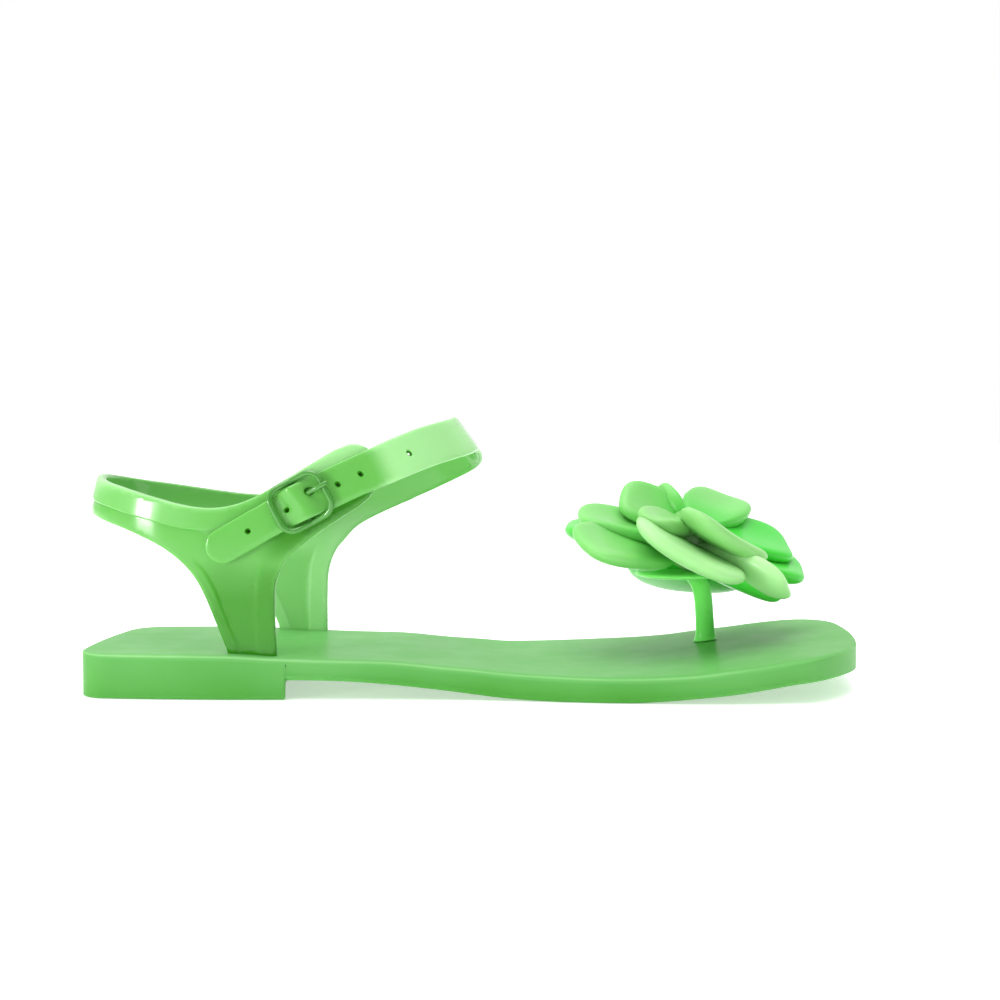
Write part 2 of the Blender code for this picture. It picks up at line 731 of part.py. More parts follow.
def build_toe_post(made):
    rows = (
        (0.0, 1.35, 0.0),
        (0.05, 1.12, 0.0),
        (0.14, 1.0, 0.0),
        (0.5, 0.96, 0.1),
        (0.8, 1.0, 0.35),
        (0.92, 1.1, 0.7),
        (1.0, 1.25, 1.0),
    )
    top = PLATE_Z - PLATE_THICK / 2 - POST_GAP
    sides = 20
    points = []
    for share, size, shift in rows:
        for j in range(sides):
            turn = math.tau * j / sides
            x = POST_X + (FLOWER_X - POST_X) * 0.4 * shift + POST_RADIUS * size * math.cos(turn)
            y = POST_Y + (FLOWER_Y - POST_Y) * 0.4 * shift
            y += 0.8 * POST_RADIUS * size * math.sin(turn)
            base = footbed_height(x / SOLE_LENGTH + 0.5) + CLEARANCE
            points.append((x, y, base + (top - base) * share))
    faces = []
    for i in range(len(rows) - 1):
        for j in range(sides):
            k = (j + 1) % sides
            faces.append(
                (i * sides + j, i * sides + k, (i + 1) * sides + k, (i + 1) * sides + j)
            )
    faces.append(tuple(range(sides)))
    faces.append(tuple((len(rows) - 1) * sides + j for j in range(sides)))
    return add_object("toe_post", points, faces, made)


def disc_solid(name, radius, thick, centre, tilt, made=None):
    """Pillow edged disc."""
    points = []
    faces = []
    sides = 28
    rows = ((0.0, -0.5), (0.88, -0.5), (1.0, -0.15), (1.0, 0.15), (0.88, 0.5), (0.0, 0.5))
    turn_matrix = Matrix.Rotation(tilt, 3, "Y")
    for share, rise in rows:
        for j in range(sides if share else 1):
            turn = math.tau * j / sides
            local = Vector((radius * share * math.cos(turn), radius * share * math.sin(turn), 0))
            local.z = rise * thick
            points.append(centre + turn_matrix @ local)
    starts = (1, 1 + sides, 1 + 2 * sides, 1 + 3 * sides)
    last = 1 + 4 * sides
    for j in range(sides):
        k = (j + 1) % sides
        faces.append((0, starts[0] + k, starts[0] + j))
        faces.append((last, starts[3] + j, starts[3] + k))
        for one, two in zip(starts, starts[1:]):
            faces.append((one + j, one + k, two + k, two + j))
    return add_object(name, points, faces, made)


def squared(value):
    """A cosine or sine of a circle drawn out towards a square with round corners."""
    return math.copysign(abs(value) ** (2 / PETAL_POWER), value)


def build_petal(level, tip, width, roll):
    """One thick cupped petal from the flower axis out to its tip."""
    hub = flower_hub(level)
    ahead = tip - hub
    length = ahead.length
    ahead.normalize()
    side = flower_axis().cross(ahead).normalized()
    side = Matrix.Rotation(math.radians(roll), 3, ahead) @ side
    turned = Matrix((ahead, side, ahead.cross(side))).transposed()
    sides = 16
    shares = (0.5, 0.84, 0.96, 1.0)
    middle = 0.54
    tops = []
    lows = []
    for share in shares:
        for j in range(sides):
            turn = math.tau * (j + 0.5) / sides
            ahead_share = squared(math.cos(turn)) * share
            side_share = squared(math.sin(turn)) * share
            along = length * (middle + (1 - middle) * ahead_share)
            taper = 0.5 + 0.5 * smooth_step(along, 0.0, 0.55 * length)
            aside = width / 2 * side_share * taper
            bow = PETAL_CUP * ((2 * aside / width) ** 2 + (along / length) ** 2 - 1)
            half = PETAL_THICK / 2 * math.sqrt(1 - share**7)
            half *= 0.6 + 0.4 * smooth_step(along / length, 0.1, 0.5)
            tops.append(Vector((along, aside, bow + half)))
            lows.append(Vector((along, aside, bow - half)))
    centre_bow = PETAL_CUP * (middle**2 - 1)
    mids = [Vector((length * middle, 0, centre_bow + s * PETAL_THICK / 2)) for s in (1, -1)]
    rings = len(shares) - 1
    points = mids + tops + lows[: rings * sides]
    faces = []
    high = 2
    low = 2 + len(tops)
    for j in range(sides):
        k = (j + 1) % sides
        faces.append((0, high + j, high + k))
        faces.append((1, low + k, low + j))
        for i in range(rings):
            a, b = high + i * sides, high + (i + 1) * sides
            faces.append((a + j, b + j, b + k, a + k))
            a = low + i * sides
            b = low + (i + 1) * sides if i < rings - 1 else high + rings * sides
            faces.append((a + j, a + k, b + k, b + j))
    return add_object("petal", [hub + turned @ p for p in points], faces)


def flower_axis():
    return Matrix.Rotation(FLOWER_TILT, 3, "Y") @ Vector((0, 0, 1))


def flower_hub(level):
    base = Vector((FLOWER_X, FLOWER_Y, FLOWER_Z))
    return base + flower_axis() * (LEVEL_RISE * (level + 0.5))


def build_flower(made):
    """Base plate, hub and all petals, fused at their roots."""
    centre = Vector((FLOWER_X, FLOWER_Y, PLATE_Z))
    flower = disc_solid("flower", PLATE_RADIUS, PLATE_THICK, centre, 0, made)
    pieces = [disc_solid("hub", HUB_RADIUS, HUB_THICK, flower_hub(0.55), FLOWER_TILT)]
    pieces += [
        build_petal(level, Vector((x, y, z)) * MM, width * MM, roll)
        for level, x, y, z, width, roll in PETAL_ROWS
    ]
    join_solids(flower, pieces)
    return flower


def set_on_origin():
    """Put the bottom centre of all pieces on the origin."""
    meshes = [thing.data for thing in bpy.data.objects if thing.type == "MESH"]
    spots = [v.co for mesh in meshes for v in mesh.vertices]
    low = Vector(min(p[k] for p in spots) for k in range(3))
    high = Vector(max(p[k] for p in spots) for k in range(3))
    shift = Vector((-(low.x + high.x) / 2, -(low.y + high.y) / 2, -low.z))
    for mesh in meshes:
        mesh.transform(Matrix.Translation(shift))


def main():
    clear()
    green = material("jelly_green", (0.19, 0.66, 0.16), 0.25)
    pale = material("petal_green", (0.33, 0.87, 0.27), 0.35)
    build_sole(green)
    build_harness(material("strap_green", (0.2, 0.68, 0.17), 0.25))
    build_toe_post(material("post_green", (0.12, 0.6, 0.12), 0.25))
    build_flower(pale)
    build_buckle(material("buckle_green", (0.15, 0.55, 0.12), 0.3))
    build_prong(material("prong_green", (0.12, 0.45, 0.1), 0.3))
    set_on_origin()


main()
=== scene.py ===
"""Looks of the jelly sandal: moulded sole, ankle harness, buckle, toe post and petal flower."""

import math

import bpy
import numpy as np
from bpy.props import FloatProperty, FloatVectorProperty, IntProperty, PointerProperty
from bpy.types import Operator, Panel, PropertyGroup
from mathutils import Matrix, Vector
from mathutils.geometry import delaunay_2d_cdt


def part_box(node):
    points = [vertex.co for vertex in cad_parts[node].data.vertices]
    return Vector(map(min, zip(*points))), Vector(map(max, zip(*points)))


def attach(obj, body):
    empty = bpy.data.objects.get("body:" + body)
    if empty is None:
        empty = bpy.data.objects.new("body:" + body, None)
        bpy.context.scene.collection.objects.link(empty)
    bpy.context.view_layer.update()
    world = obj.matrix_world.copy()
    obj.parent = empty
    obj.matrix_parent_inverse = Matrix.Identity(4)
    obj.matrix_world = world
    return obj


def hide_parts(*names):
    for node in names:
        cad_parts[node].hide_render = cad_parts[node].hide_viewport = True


bl_info = {
    "name": "Jelly Sandal",
    "version": (1, 0, 0),
    "blender": (4, 5, 0),
    "location": "View3D > Sidebar > Sandal",
    "description": "Builds the visible pieces of a moulded jelly sandal with a petal flower",
    "category": "Add Mesh",
}

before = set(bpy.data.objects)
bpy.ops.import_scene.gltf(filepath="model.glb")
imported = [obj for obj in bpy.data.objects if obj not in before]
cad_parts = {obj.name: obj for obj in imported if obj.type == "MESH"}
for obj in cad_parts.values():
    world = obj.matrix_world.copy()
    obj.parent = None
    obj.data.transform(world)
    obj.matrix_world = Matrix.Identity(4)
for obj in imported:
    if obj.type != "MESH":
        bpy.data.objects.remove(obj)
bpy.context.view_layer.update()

MM = 0.001
BODY = "root"

# Sole
SOLE_LENGTH = 252.0 * MM
SOLE_BREADTH = 89.6 * MM
HEEL_HEIGHT = 14.1 * MM
HEEL_BREAST = 0.264
HEEL_CORNER = 9.0 * MM
TOE_CORNER_OUTER = 21.0 * MM
TOE_CORNER_INNER = 15.0 * MM
BREAST_BOW = 5.0 * MM
BACK_BOW = 2.5
BACK_BOW_CENTRE = -18.0 * MM
BACK_BOW_END = 0.16
FRONT_BOW = 3.0
FRONT_BOW_CENTRE = 20.0 * MM
FRONT_BOW_START = 0.75

# Cosine between two faces below which their rim is rounded, and how much of the rounding is left
# at the ends and on the breast.
SHARP_RIM = 0.57
END_ROUND = 0.04
BREAST_ROUND = 0.4

# Stations of the sole's mesh as shares of its length: their step, the gaps beside the heel step
# and the lean of its face. Then the counts round the corners and across.
STATION_STEP = 0.011
GAP_BEHIND_STEP = 0.028
GAP_AHEAD_OF_STEP = 0.024
STEP_SLANT = 0.0008
HEEL_STATIONS = 10
TOE_STATIONS = 16
ACROSS_STEPS = 26

# Sole rows: place along the length, outer and inner edge as shares of the breadth, footbed and
# underside height as shares of the heel height.
SOLE_ROWS = (
    (0.000, -0.402, 0.290, 1.000, 0.430),
    (0.060, -0.416, 0.302, 1.000, 0.430),
    (0.120, -0.428, 0.307, 1.000, 0.430),
    (0.190, -0.433, 0.310, 0.990, 0.430),
    (0.240, -0.432, 0.310, 0.940, 0.430),
    (0.290, -0.430, 0.307, 0.910, 0.425),
    (0.335, -0.427, 0.303, 0.887, 0.400),
    (0.381, -0.425, 0.301, 0.870, 0.343),
    (0.454, -0.427, 0.306, 0.752, 0.210),
    (0.502, -0.431, 0.320, 0.680, 0.105),
    (0.528, -0.438, 0.330, 0.632, 0.055),
    (0.575, -0.453, 0.375, 0.590, 0.008),
    (0.605, -0.466, 0.408, 0.573, 0.000),
    (0.647, -0.480, 0.446, 0.562, 0.000),
    (0.684, -0.487, 0.470, 0.567, 0.000),
    (0.718, -0.491, 0.485, 0.582, 0.030),
    (0.766, -0.497, 0.495, 0.640, 0.105),
    (0.813, -0.501, 0.498, 0.750, 0.195),
    (0.861, -0.498, 0.497, 0.850, 0.312),
    (0.900, -0.492, 0.494, 0.945, 0.410),
    (0.944, -0.480, 0.490, 1.022, 0.480),
    (1.000, -0.460, 0.486, 1.075, 0.535),
)

# Ankle harness
WALL = 2.4 * MM
STRAP_WALL = 2.0 * MM
STRAP_WIDTH = 10.8 * MM
CLEARANCE = 0.3 * MM
LOOP_BACK = -127.0 * MM
LOOP_FRONT = -1.6 * MM
LOOP_CENTRE_Y = -4.5 * MM
LOOP_POWER = 2.6
STRAP_LOW = 77.6 * MM
FRONT_LEAN = 0.72
FRONT_LEAN_DEPTH = 18.0 * MM
BACK_LEAN = 0.25
BACK_LOW = 58.0 * MM
LOOP_MIDDLE = -64.0 * MM
LOOP_LEVEL = 62.0 * MM
THIN_FROM = 0.8
STRAP_JOIN = 5.2 * MM
CURVE_STEPS = 12
FOOT_DROP = 0.9 * MM
PATTERN_HEIGHT = 92.0 * MM
HOLE_RADIUS = 0.75 * MM
HOLE_LEVEL = 50.9 * MM
HOLE_SIDES = 14
HOLE_RIM = 0.3 * MM
HOLE_ROUND = 0.35 * MM
HOLE_TAPER = 0.4
SLOT_SIDES = 24

# Relief of the harness: the band along the heel strap and the ribs beside the posts' panels.
BAND_WIDTH = 6.8 * MM
REAR_RIB = 3.3 * MM
OUTER_RIB = 5.7 * MM
INNER_RIB = 6.3 * MM
STEP_WIDTH = 0.5 * MM
RIB_TOP = 33.0 * MM

# Half width of the ankle loop at heights above the floor, in millimetres.
LOOP_ROWS = ((14.0, 28.6), (35.0, 28.8), (60.0, 28.0), (75.0, 26.6), (90.0, 25.0))

# Harness outline points: side, place along the foot, height, in millimetres. L outer side,
# M inner side, B middle of the back, F middle of the front, O outer layer of the strap.
REAR_EDGE = (
    ("L", -78.5, 14.3), ("L", -82.0, 23.0), ("L", -86.0, 32.6), ("L", -89.0, 37.8),
    ("L", -93.0, 42.2), ("L", -99.0, 46.6), ("L", -107.0, 50.4), ("L", -116.0, 53.6),
    ("B", -127.0, 58.0),
    ("M", -116.0, 56.0), ("M", -104.0, 53.0), ("M", -94.0, 48.4), ("M", -86.0, 41.6),
    ("M", -80.0, 33.0), ("M", -76.0, 24.0), ("M", -72.0, 14.0),
)
INNER_FRONT_EDGE = (
    ("M", -55.0, 13.3), ("M", -55.0, 26.0), ("M", -54.4, 35.0), ("M", -52.0, 41.5),
    ("M", -49.0, 45.2), ("M", -43.7, 50.6),
)
INNER_TOP_EDGE = (
    ("M", -44.0, 66.2), ("M", -56.0, 62.6), ("M", -69.0, 61.2), ("M", -82.0, 61.6),
    ("M", -92.0, 62.8), ("M", -102.0, 64.4), ("M", -113.0, 66.2),
    ("B", -127.0, 69.2),
    ("L", -117.0, 66.6), ("L", -111.0, 65.0), ("L", -102.0, 62.6), ("L", -93.0, 60.4),
    ("L", -85.0, 59.4), ("L", -78.0, 60.0), ("L", -70.3, 62.6), ("L", -61.0, 68.0),
    ("L", -52.0, 73.4), ("L", -44.0, 78.0), ("L", -38.5, 79.2), ("L", -34.0, 77.4),
    ("L", -32.2, 72.5), ("L", -32.2, 66.5), ("L", -34.3, 62.5),
)
OUTER_FRONT_EDGE = (
    ("L", -34.3, 62.5), ("L", -43.0, 56.4), ("L", -52.0, 50.2), ("L", -59.5, 43.6),
    ("L", -63.0, 37.0), ("L", -63.6, 28.0), ("L", -63.2, 13.6),
)
STRAP_LINE = (
    ("M", -30.0, 64.6), ("M", -14.3, 72.0), ("M", -5.0, 77.4),
    ("F", 0.0, 82.4),
    ("O", -6.0, 81.9), ("O", -15.0, 78.8), ("O", -30.0, 72.6), ("O", -45.0, 65.9),
    ("O", -62.0, 57.4), ("O", -79.2, 47.6),
)
# Places of the strap's holes along the foot, in millimetres.
STRAP_HOLES = (-16.6, -34.9, -43.4, -60.4, -71.8)

# Buckle
BUCKLE_LENGTH = 19.0 * MM
BUCKLE_BAR = 0.95 * MM
BUCKLE_HALF_WIDTH = STRAP_WIDTH / 2 + 0.9 * MM + BUCKLE_BAR
BUCKLE_CORNER = 4.0 * MM
BUCKLE_X = -55.0 * MM
BUCKLE_LEVEL = 61.0 * MM
BUCKLE_GAP = 0.5 * MM
CENTRE_BAR = 0.65 * MM
CENTRE_BAR_RISE = 1.05 * MM
LUG_RADIUS = 1.65 * MM
LUG_WIDTH = 2.2 * MM
LUG_OFFSET = 3.4 * MM
LUG_GAP = 0.15 * MM
FRAME_SHIFT = 0.3 * MM
PRONG_WIDTH = 1.4 * MM
PRONG_THICK = 0.85 * MM
PRONG_SHIFT = 1.7 * MM
SLOT_AHEAD = 4.6 * MM
SLOT_LENGTH = 3.0 * MM
SLOT_WIDTH = 2.1 * MM
STRAP_HUMP = 2.75 * MM
HUMP_REACH = 7.0 * MM

# Torus that the round pieces are shaped from, with its tube at 1.
TORUS = 3.0

# Prong: place along the strap and rise above the quarter, in millimetres.
PRONG_ROWS = (
    (-1.5, 1.55), (-1.15, 2.1), (-0.4, 2.33), (0.7, 2.36), (1.9, 2.62), (3.2, 3.3), (4.8, 4.25),
    (6.6, 4.98), (8.3, 5.2), (9.7, 5.05), (10.4, 4.7),
)

# Toe post and flower
POST_X = 78.0 * MM
POST_Y = 17.5 * MM
POST_RADIUS = 3.3 * MM
POST_FLAT = 0.8
POST_LEAN = 0.4
POST_SINK = 0.2 * MM
FLOWER_X = 68.0 * MM
FLOWER_Y = 12.0 * MM
PLATE_Z = 34.6 * MM
FLOWER_Z = 40.6 * MM
PLATE_RADIUS = 15.0 * MM
PLATE_THICK = 2.4 * MM
HUB_RADIUS = 9.0 * MM
HUB_THICK = 18.0 * MM
HUB_LEVEL = 0.55
FLOWER_TILT = math.radians(28.0)
LEVEL_RISE = 5.4 * MM
PETAL_POWER = 3.2

# Toe post rows: share of the height, size and lean towards the flower.
POST_ROWS = (
    (0.0, 1.35, 0.0),
    (0.05, 1.12, 0.0),
    (0.14, 1.0, 0.0),
    (0.5, 0.96, 0.1),
    (0.8, 1.0, 0.35),
    (0.92, 1.1, 0.7),
    (1.0, 1.25, 1.0),
)

# Camera: its place, and how far it looks down and to the left.
CAMERA_PLACE = (0.01087, -0.44638, 0.0806)
CAMERA_DOWN = math.atan(60 / 1330)
CAMERA_LEFT = math.atan(10 / 1330)

# Petals: level, then the tip's place along, across and above the floor and the width in
# millimetres, the roll in degrees and the shade: painted shade towards 1, painted light towards -1.
PETAL_ROWS = (
    (0.0, 33.0, -15.0, 46.5, 26.0, -10.0, 0.3),
    (0.0, 102.0, 4.0, 27.0, 28.0, 4.0, 0.8),
    (0.0, 76.0, 38.0, 26.5, 44.0, -26.0, 1.0),
    (0.0, 29.0, 16.0, 50.0, 24.0, -10.0, 0.7),
    (0.7, 100.5, -14.0, 31.5, 20.0, -20.0, -0.8),
    (1.0, 66.5, -26.0, 42.0, 40.0, 0.0, -0.6),
    (1.0, 111.0, 12.0, 34.0, 24.0, 18.0, 0.8),
    (1.0, 98.0, 36.0, 40.0, 26.0, 10.0, 0.4),
    (1.0, 52.0, 42.0, 48.0, 26.0, 0.0, 0.3),
    (1.0, 33.0, 6.0, 54.5, 19.0, -18.0, 0.35),
    (2.0, 84.0, -16.0, 46.5, 33.0, -3.0, -0.15),
    (2.0, 107.5, 20.0, 42.0, 25.0, 20.0, 0.95),
    (2.0, 88.0, 34.0, 59.5, 24.0, -8.0, 0.35),
    (2.0, 62.5, 24.0, 62.5, 13.0, 20.0, 0.35),
    (2.0, 47.5, 12.0, 61.0, 18.0, -45.0, 0.35),
    (2.0, 54.5, -10.0, 54.0, 15.0, 0.0, 0.0),
)


def length_setting(name, description, default, low, high):
    """A length that the user can change, given in millimetres."""
    return FloatProperty(
        name=name, description=description, default=default * MM, min=low * MM, max=high * MM,
        subtype="DISTANCE", unit="LENGTH",
    )


def colour_setting(name, description, default):
    """A colour that the user can change."""
    return FloatVectorProperty(
        name=name, description=description, default=default, min=0.0, max=1.0, size=3,
        subtype="COLOR",
    )


def strength_setting(name, description, default):
    """A light's strength that the user can change."""
    return FloatProperty(name=name, description=description, default=default, min=0.0)


class SandalSizes(PropertyGroup):
    """Finishing sizes of the visible pieces"""

    edge_round: length_setting("Sole edge", "Rounding of the sole's rims", 1.9, 0.3, 2.5)
    strap_round: length_setting("Strap edge", "Rounding of the harness rims", 0.75, 0.2, 0.95)
    band_rise: length_setting("Band rise", "Height of the band along the strap", 0.6, 0.0, 1.0)
    panel_depth: length_setting("Panel depth", "Depth of the panels of the posts", 0.25, 0.0, 0.8)
    mesh_pitch: length_setting("Harness pitch", "Spacing of the harness mesh", 1.25, 0.8, 3.0)
    petal_thick: length_setting("Petal thickness", "Thickness in the middle of a petal", 6.0, 2.0, 7.0)
    petal_cup: length_setting("Petal cup", "How far a petal's rim curls up", 2.2, 0.0, 5.0)
    petal_segments: IntProperty(
        name="Petal segments", description="Segments round one petal", default=40, min=16, max=64,
    )


class SandalColours(PropertyGroup):
    """Colours of the moulded plastics"""

    sole: colour_setting("Sole", "Colour of the sole", (0.135, 0.42, 0.108))
    harness: colour_setting("Harness", "Colour of the straps", (0.13, 0.45, 0.08))
    # Paler than the sole's green: painted light on the toe post and the flower's base, which sit in
    # the flower's shadow.
    post: colour_setting("Toe post", "Colour of the toe post and the flower's base", (0.26, 0.92, 0.2))
    buckle: colour_setting("Buckle", "Colour of the buckle and its prong", (0.06, 0.27, 0.035))
    # Painted shade and painted light: each piece's shade attribute mixes the next four greens into its
    # colour, the darker ones where shade falls and the paler ones where light falls.
    shade_green: colour_setting("Deep green", "Colour of the painted shade", (0.045, 0.27, 0.012))
    lit_green: colour_setting("Pale green", "Colour of the painted light", (0.34, 0.7, 0.28))
    petal: colour_setting("Petals", "Colour of the petals", (0.25, 0.6, 0.18))
    petal_shade_green: colour_setting("Deep petals", "Colour of the petals underneath", (0.06, 0.62, 0.05))
    petal_lit_green: colour_setting("Pale petals", "Colour of the petals on top", (0.45, 0.82, 0.36))


class SandalStudio(PropertyGroup):
    """Light and camera"""

    far: strength_setting("Behind", "Strength of the surround behind the shoe", 1.0)
    near: strength_setting("Near side", "Strength of the surround on the near side", 0.25)
    above: strength_setting("Above", "What the surround gains overhead", 0.6)
    key: strength_setting("Top light", "Strength of the wide light above", 1.9)
    glow: strength_setting("Table glow", "Glow of the light table under the shoe", 0.45)
    strip: FloatProperty(
        name="Left light", description="Power of the light panel on the left", default=3.2,
        min=0.0, subtype="POWER", unit="POWER",
    )
    lens: length_setting("Lens", "Focal length of the camera", 47.88, 20.0, 200.0)


class Value:
    """A shader socket that takes part in Python sums."""

    def __init__(self, board, socket):
        self.board = board
        self.socket = socket

    def __add__(self, other):
        return self.board.node("ShaderNodeMath", {"operation": "ADD"}, {0: self, 1: other})

    def __radd__(self, other):
        return self.board.node("ShaderNodeMath", {"operation": "ADD"}, {0: other, 1: self})


class Board:
    """The shader nodes of a material or of the surround."""

    def __init__(self, owner, shader="Principled BSDF"):
        owner.use_nodes = True
        self.owner = owner
        self.tree = owner.node_tree
        self.shader = self.tree.nodes[shader]

    def node(self, kind, settings=None, inputs=None, out=0):
        made = self.tree.nodes.new(kind)
        for key, value in (settings or {}).items():
            setattr(made, key, value)
        for key, value in (inputs or {}).items():
            self.feed(made.inputs[key], value)
        return Value(self, made.outputs[out])

    def feed(self, socket, value):
        if isinstance(value, Value):
            self.tree.links.new(value.socket, socket)
        else:
            socket.default_value = value

    def finish(self, values):
        """Feed the closing shader and give back the material or surround."""
        for key, value in values.items():
            self.feed(self.shader.inputs[key], value)
        return self.owner

    def split(self, vector):
        parts = self.node("ShaderNodeSeparateXYZ", inputs={0: vector}).socket.node
        return [Value(self, output) for output in parts.outputs]

    def noise(self, scale, detail):
        place = self.node("ShaderNodeTexCoord", out="Object")
        return self.node(
            "ShaderNodeTexNoise", inputs={"Vector": place, "Scale": scale, "Detail": detail}
        )

    def ramp(self, value, low, high, at_low=0.0, at_high=1.0, kind="SMOOTHSTEP"):
        return self.node(
            "ShaderNodeMapRange",
            {"interpolation_type": kind, "clamp": True},
            {"Value": value, "From Min": low, "From Max": high, "To Min": at_low,
             "To Max": at_high},
        )

    def mix(self, factor, one, two):
        """One colour at factor 0, the other at factor 1."""
        return self.node(
            "ShaderNodeMix", {"data_type": "RGBA"}, {0: factor, 6: one, 7: two}, out=2
        )

    def bump(self, height, strength, distance):
        return self.node(
            "ShaderNodeBump",
            inputs={"Height": height, "Strength": strength, "Distance": distance},
        )


def rgba(colour):
    return (*colour, 1.0)


def plastic(name, colour, shade_green, lit_green, roughness, subsurface, gloss=1.0, grain=0.02):
    """Moulded soft plastic: the piece's shade attribute paints shade in the darker green and light in
    the paler green, soft gloss, faint orange peel.
    """
    board = Board(bpy.data.materials.new(name))
    shade = board.node("ShaderNodeAttribute", {"attribute_name": "shade"}, out="Fac")
    cloud = board.ramp(board.noise(26.0, 2.0), 0.3, 0.7, -0.07, 0.07)
    tone = shade + cloud
    # Painted shade towards the darker green, painted light towards the paler green; the cloud is
    # random tone.
    shaded = board.mix(board.ramp(tone, 0.0, 1.0), rgba(colour), rgba(shade_green))
    smudge = board.ramp(board.noise(70.0, 3.0), 0.35, 0.7, -0.03, 0.05)
    return board.finish({
        "Base Color": board.mix(board.ramp(tone, 0.0, -1.0), shaded, rgba(lit_green)),
        "Roughness": smudge + roughness,
        "Normal": board.bump(board.noise(900.0, 2.0), grain, 0.2 * MM),
        "Subsurface Weight": subsurface,
        "Subsurface Radius": (0.7, 1.0, 0.5),
        "Subsurface Scale": 2.0 * MM,
        "IOR": 1.5,
        "Specular IOR Level": 0.5 * gloss,
        "Coat Weight": 0.35 * gloss,
        "Coat Roughness": 0.08,
    })


def set_shade(thing, values):
    """Painted light and shade of each point: 0 the plain colour, 1 painted shade in the darker green,
    -1 painted light in the paler green.
    """
    layer = thing.data.attributes.new("shade", "FLOAT", "POINT")
    layer.data.foreach_set("value", np.asarray(values, np.float32))


def normals_up(thing):
    """Upward share of the normal at each point."""
    return np.array([v.normal.z for v in thing.data.vertices])


def deselect():
    for thing in list(bpy.context.selected_objects):
        thing.select_set(False)


def start(name):
    """The primitive that was just added, under its name."""
    thing = bpy.context.active_object
    thing.name = name
    thing.data.name = name
    return thing


def points_of(thing):
    co = np.empty(len(thing.data.vertices) * 3)
    thing.data.vertices.foreach_get("co", co)
    return co.reshape(-1, 3)


def set_points(thing, points):
    thing.data.vertices.foreach_set("co", np.asarray(points, float).ravel())
    thing.data.update()


def edit(thing, step):
    """Run a step on a piece in edit mode."""
    deselect()
    thing.select_set(True)
    bpy.context.view_layer.objects.active = thing
    bpy.ops.object.mode_set(mode="EDIT")
    step()
    bpy.ops.object.mode_set(mode="OBJECT")


def outwards():
    """Merge doubles and turn every face outwards."""
    bpy.ops.mesh.select_all(action="SELECT")
    bpy.ops.mesh.remove_doubles(threshold=1e-6)
    bpy.ops.mesh.normals_make_consistent(inside=False)


def apply_modifiers(thing):
    bpy.context.view_layer.objects.active = thing
    for step in list(thing.modifiers):
        bpy.ops.object.modifier_apply(modifier=step.name)


def smooth(thing, angle):
    """Shade smooth, but for edges sharper than the angle."""
    deselect()
    thing.select_set(True)
    bpy.context.view_layer.objects.active = thing
    bpy.ops.object.shade_smooth_by_angle(angle=math.radians(angle))


def reshape(thing, points, angle):
    """Move a piece's points, turn its faces outwards and shade it smooth."""
    set_points(thing, points)
    edit(thing, outwards)
    smooth(thing, angle)


def finish_piece(thing, material, slot, *nodes):
    """Settle a piece: place, material, body and the nodes that it stands for. The slot is not used."""
    thing.data.transform(Matrix.Translation(SHIFT))
    thing.data.materials.clear()
    thing.data.materials.append(material)
    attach(thing, BODY)
    if nodes:
        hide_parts(*nodes)


def curve_value(rows, column, place):
    """Monotone cubic through the rows of a table, read at a place in the first column."""
    xs = np.array([row[0] for row in rows])
    ys = np.array([row[column] for row in rows])
    steps = np.diff(xs)
    slopes = np.diff(ys) / steps
    bends = np.zeros(len(xs))
    for i in range(1, len(xs) - 1):
        if slopes[i - 1] * slopes[i] > 0:
            first = 2 * steps[i] + steps[i - 1]
            second = steps[i] + 2 * steps[i - 1]
            bends[i] = (first + second) / (first / slopes[i - 1] + second / slopes[i])
    place = min(max(place, xs[0]), xs[-1])
    i = min(int(np.searchsorted(xs, place, side="right")) - 1, len(xs) - 2)
    share = (place - xs[i]) / steps[i]
    rest = 1 - share
    return float(
        ys[i] * (1 + 2 * share) * rest**2
        + bends[i] * steps[i] * share * rest**2
        + ys[i + 1] * share**2 * (3 - 2 * share)
        - bends[i + 1] * steps[i] * share**2 * rest
    )


def smooth_step(values, low, high):
    """From 0 at the low value to 1 at the high one, with soft ends."""
    share = np.clip((values - low) / (high - low), 0.0, 1.0)
    return share * share * (3 - 2 * share)


def corner_inset(distance, radius):
    """How far a round corner lies inside the edge, at a distance from the end."""
    if distance >= radius:
        return 0.0
    return radius - math.sqrt(max(radius**2 - (radius - distance) ** 2, 0.0))


def sole_edges(place):
    """Outer and inner edge of the sole at a share of its length."""
    ahead = place * SOLE_LENGTH
    left = (1 - place) * SOLE_LENGTH
    outer = curve_value(SOLE_ROWS, 1, place) * SOLE_BREADTH
    inner = curve_value(SOLE_ROWS, 2, place) * SOLE_BREADTH
    outer += corner_inset(ahead, HEEL_CORNER) + corner_inset(left, TOE_CORNER_OUTER)
    inner -= corner_inset(ahead, HEEL_CORNER) + corner_inset(left, TOE_CORNER_INNER)
    return outer, inner


def sole_place_x(place, y, at_breast=False):
    """Place along the foot, with both ends and the breast bowed."""
    x = (place - 0.5) * SOLE_LENGTH
    if at_breast:
        outer, inner = sole_edges(place)
        share = (2 * y - outer - inner) / (inner - outer)
        x -= BREAST_BOW * (1 - share**2)
    at_back = max(0.0, 1 - place / BACK_BOW_END) ** 2
    at_front = max(0.0, (place - FRONT_BOW_START) / (1 - FRONT_BOW_START)) ** 2
    x += at_back * BACK_BOW * (y - BACK_BOW_CENTRE) ** 2
    x -= at_front * FRONT_BOW * (y - FRONT_BOW_CENTRE) ** 2
    return x


def footbed_height(place):
    return curve_value(SOLE_ROWS, 3, place) * HEEL_HEIGHT


def under_height(place, in_front):
    """Underside's height; the heel stands on the floor up to the breast."""
    if place < HEEL_BREAST or not in_front:
        return 0.0
    return curve_value(SOLE_ROWS, 4, place) * HEEL_HEIGHT


def sole_shift():
    """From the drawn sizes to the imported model's frame."""
    back = min(sole_place_x(0.0, y) for y in np.linspace(*sole_edges(0.0), 41))
    widest = min(sole_edges(p)[0] for p in np.linspace(0.7, 0.95, 101))
    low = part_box("sole")[0]
    return Vector((low.x - back, low.y - widest, 0.0))


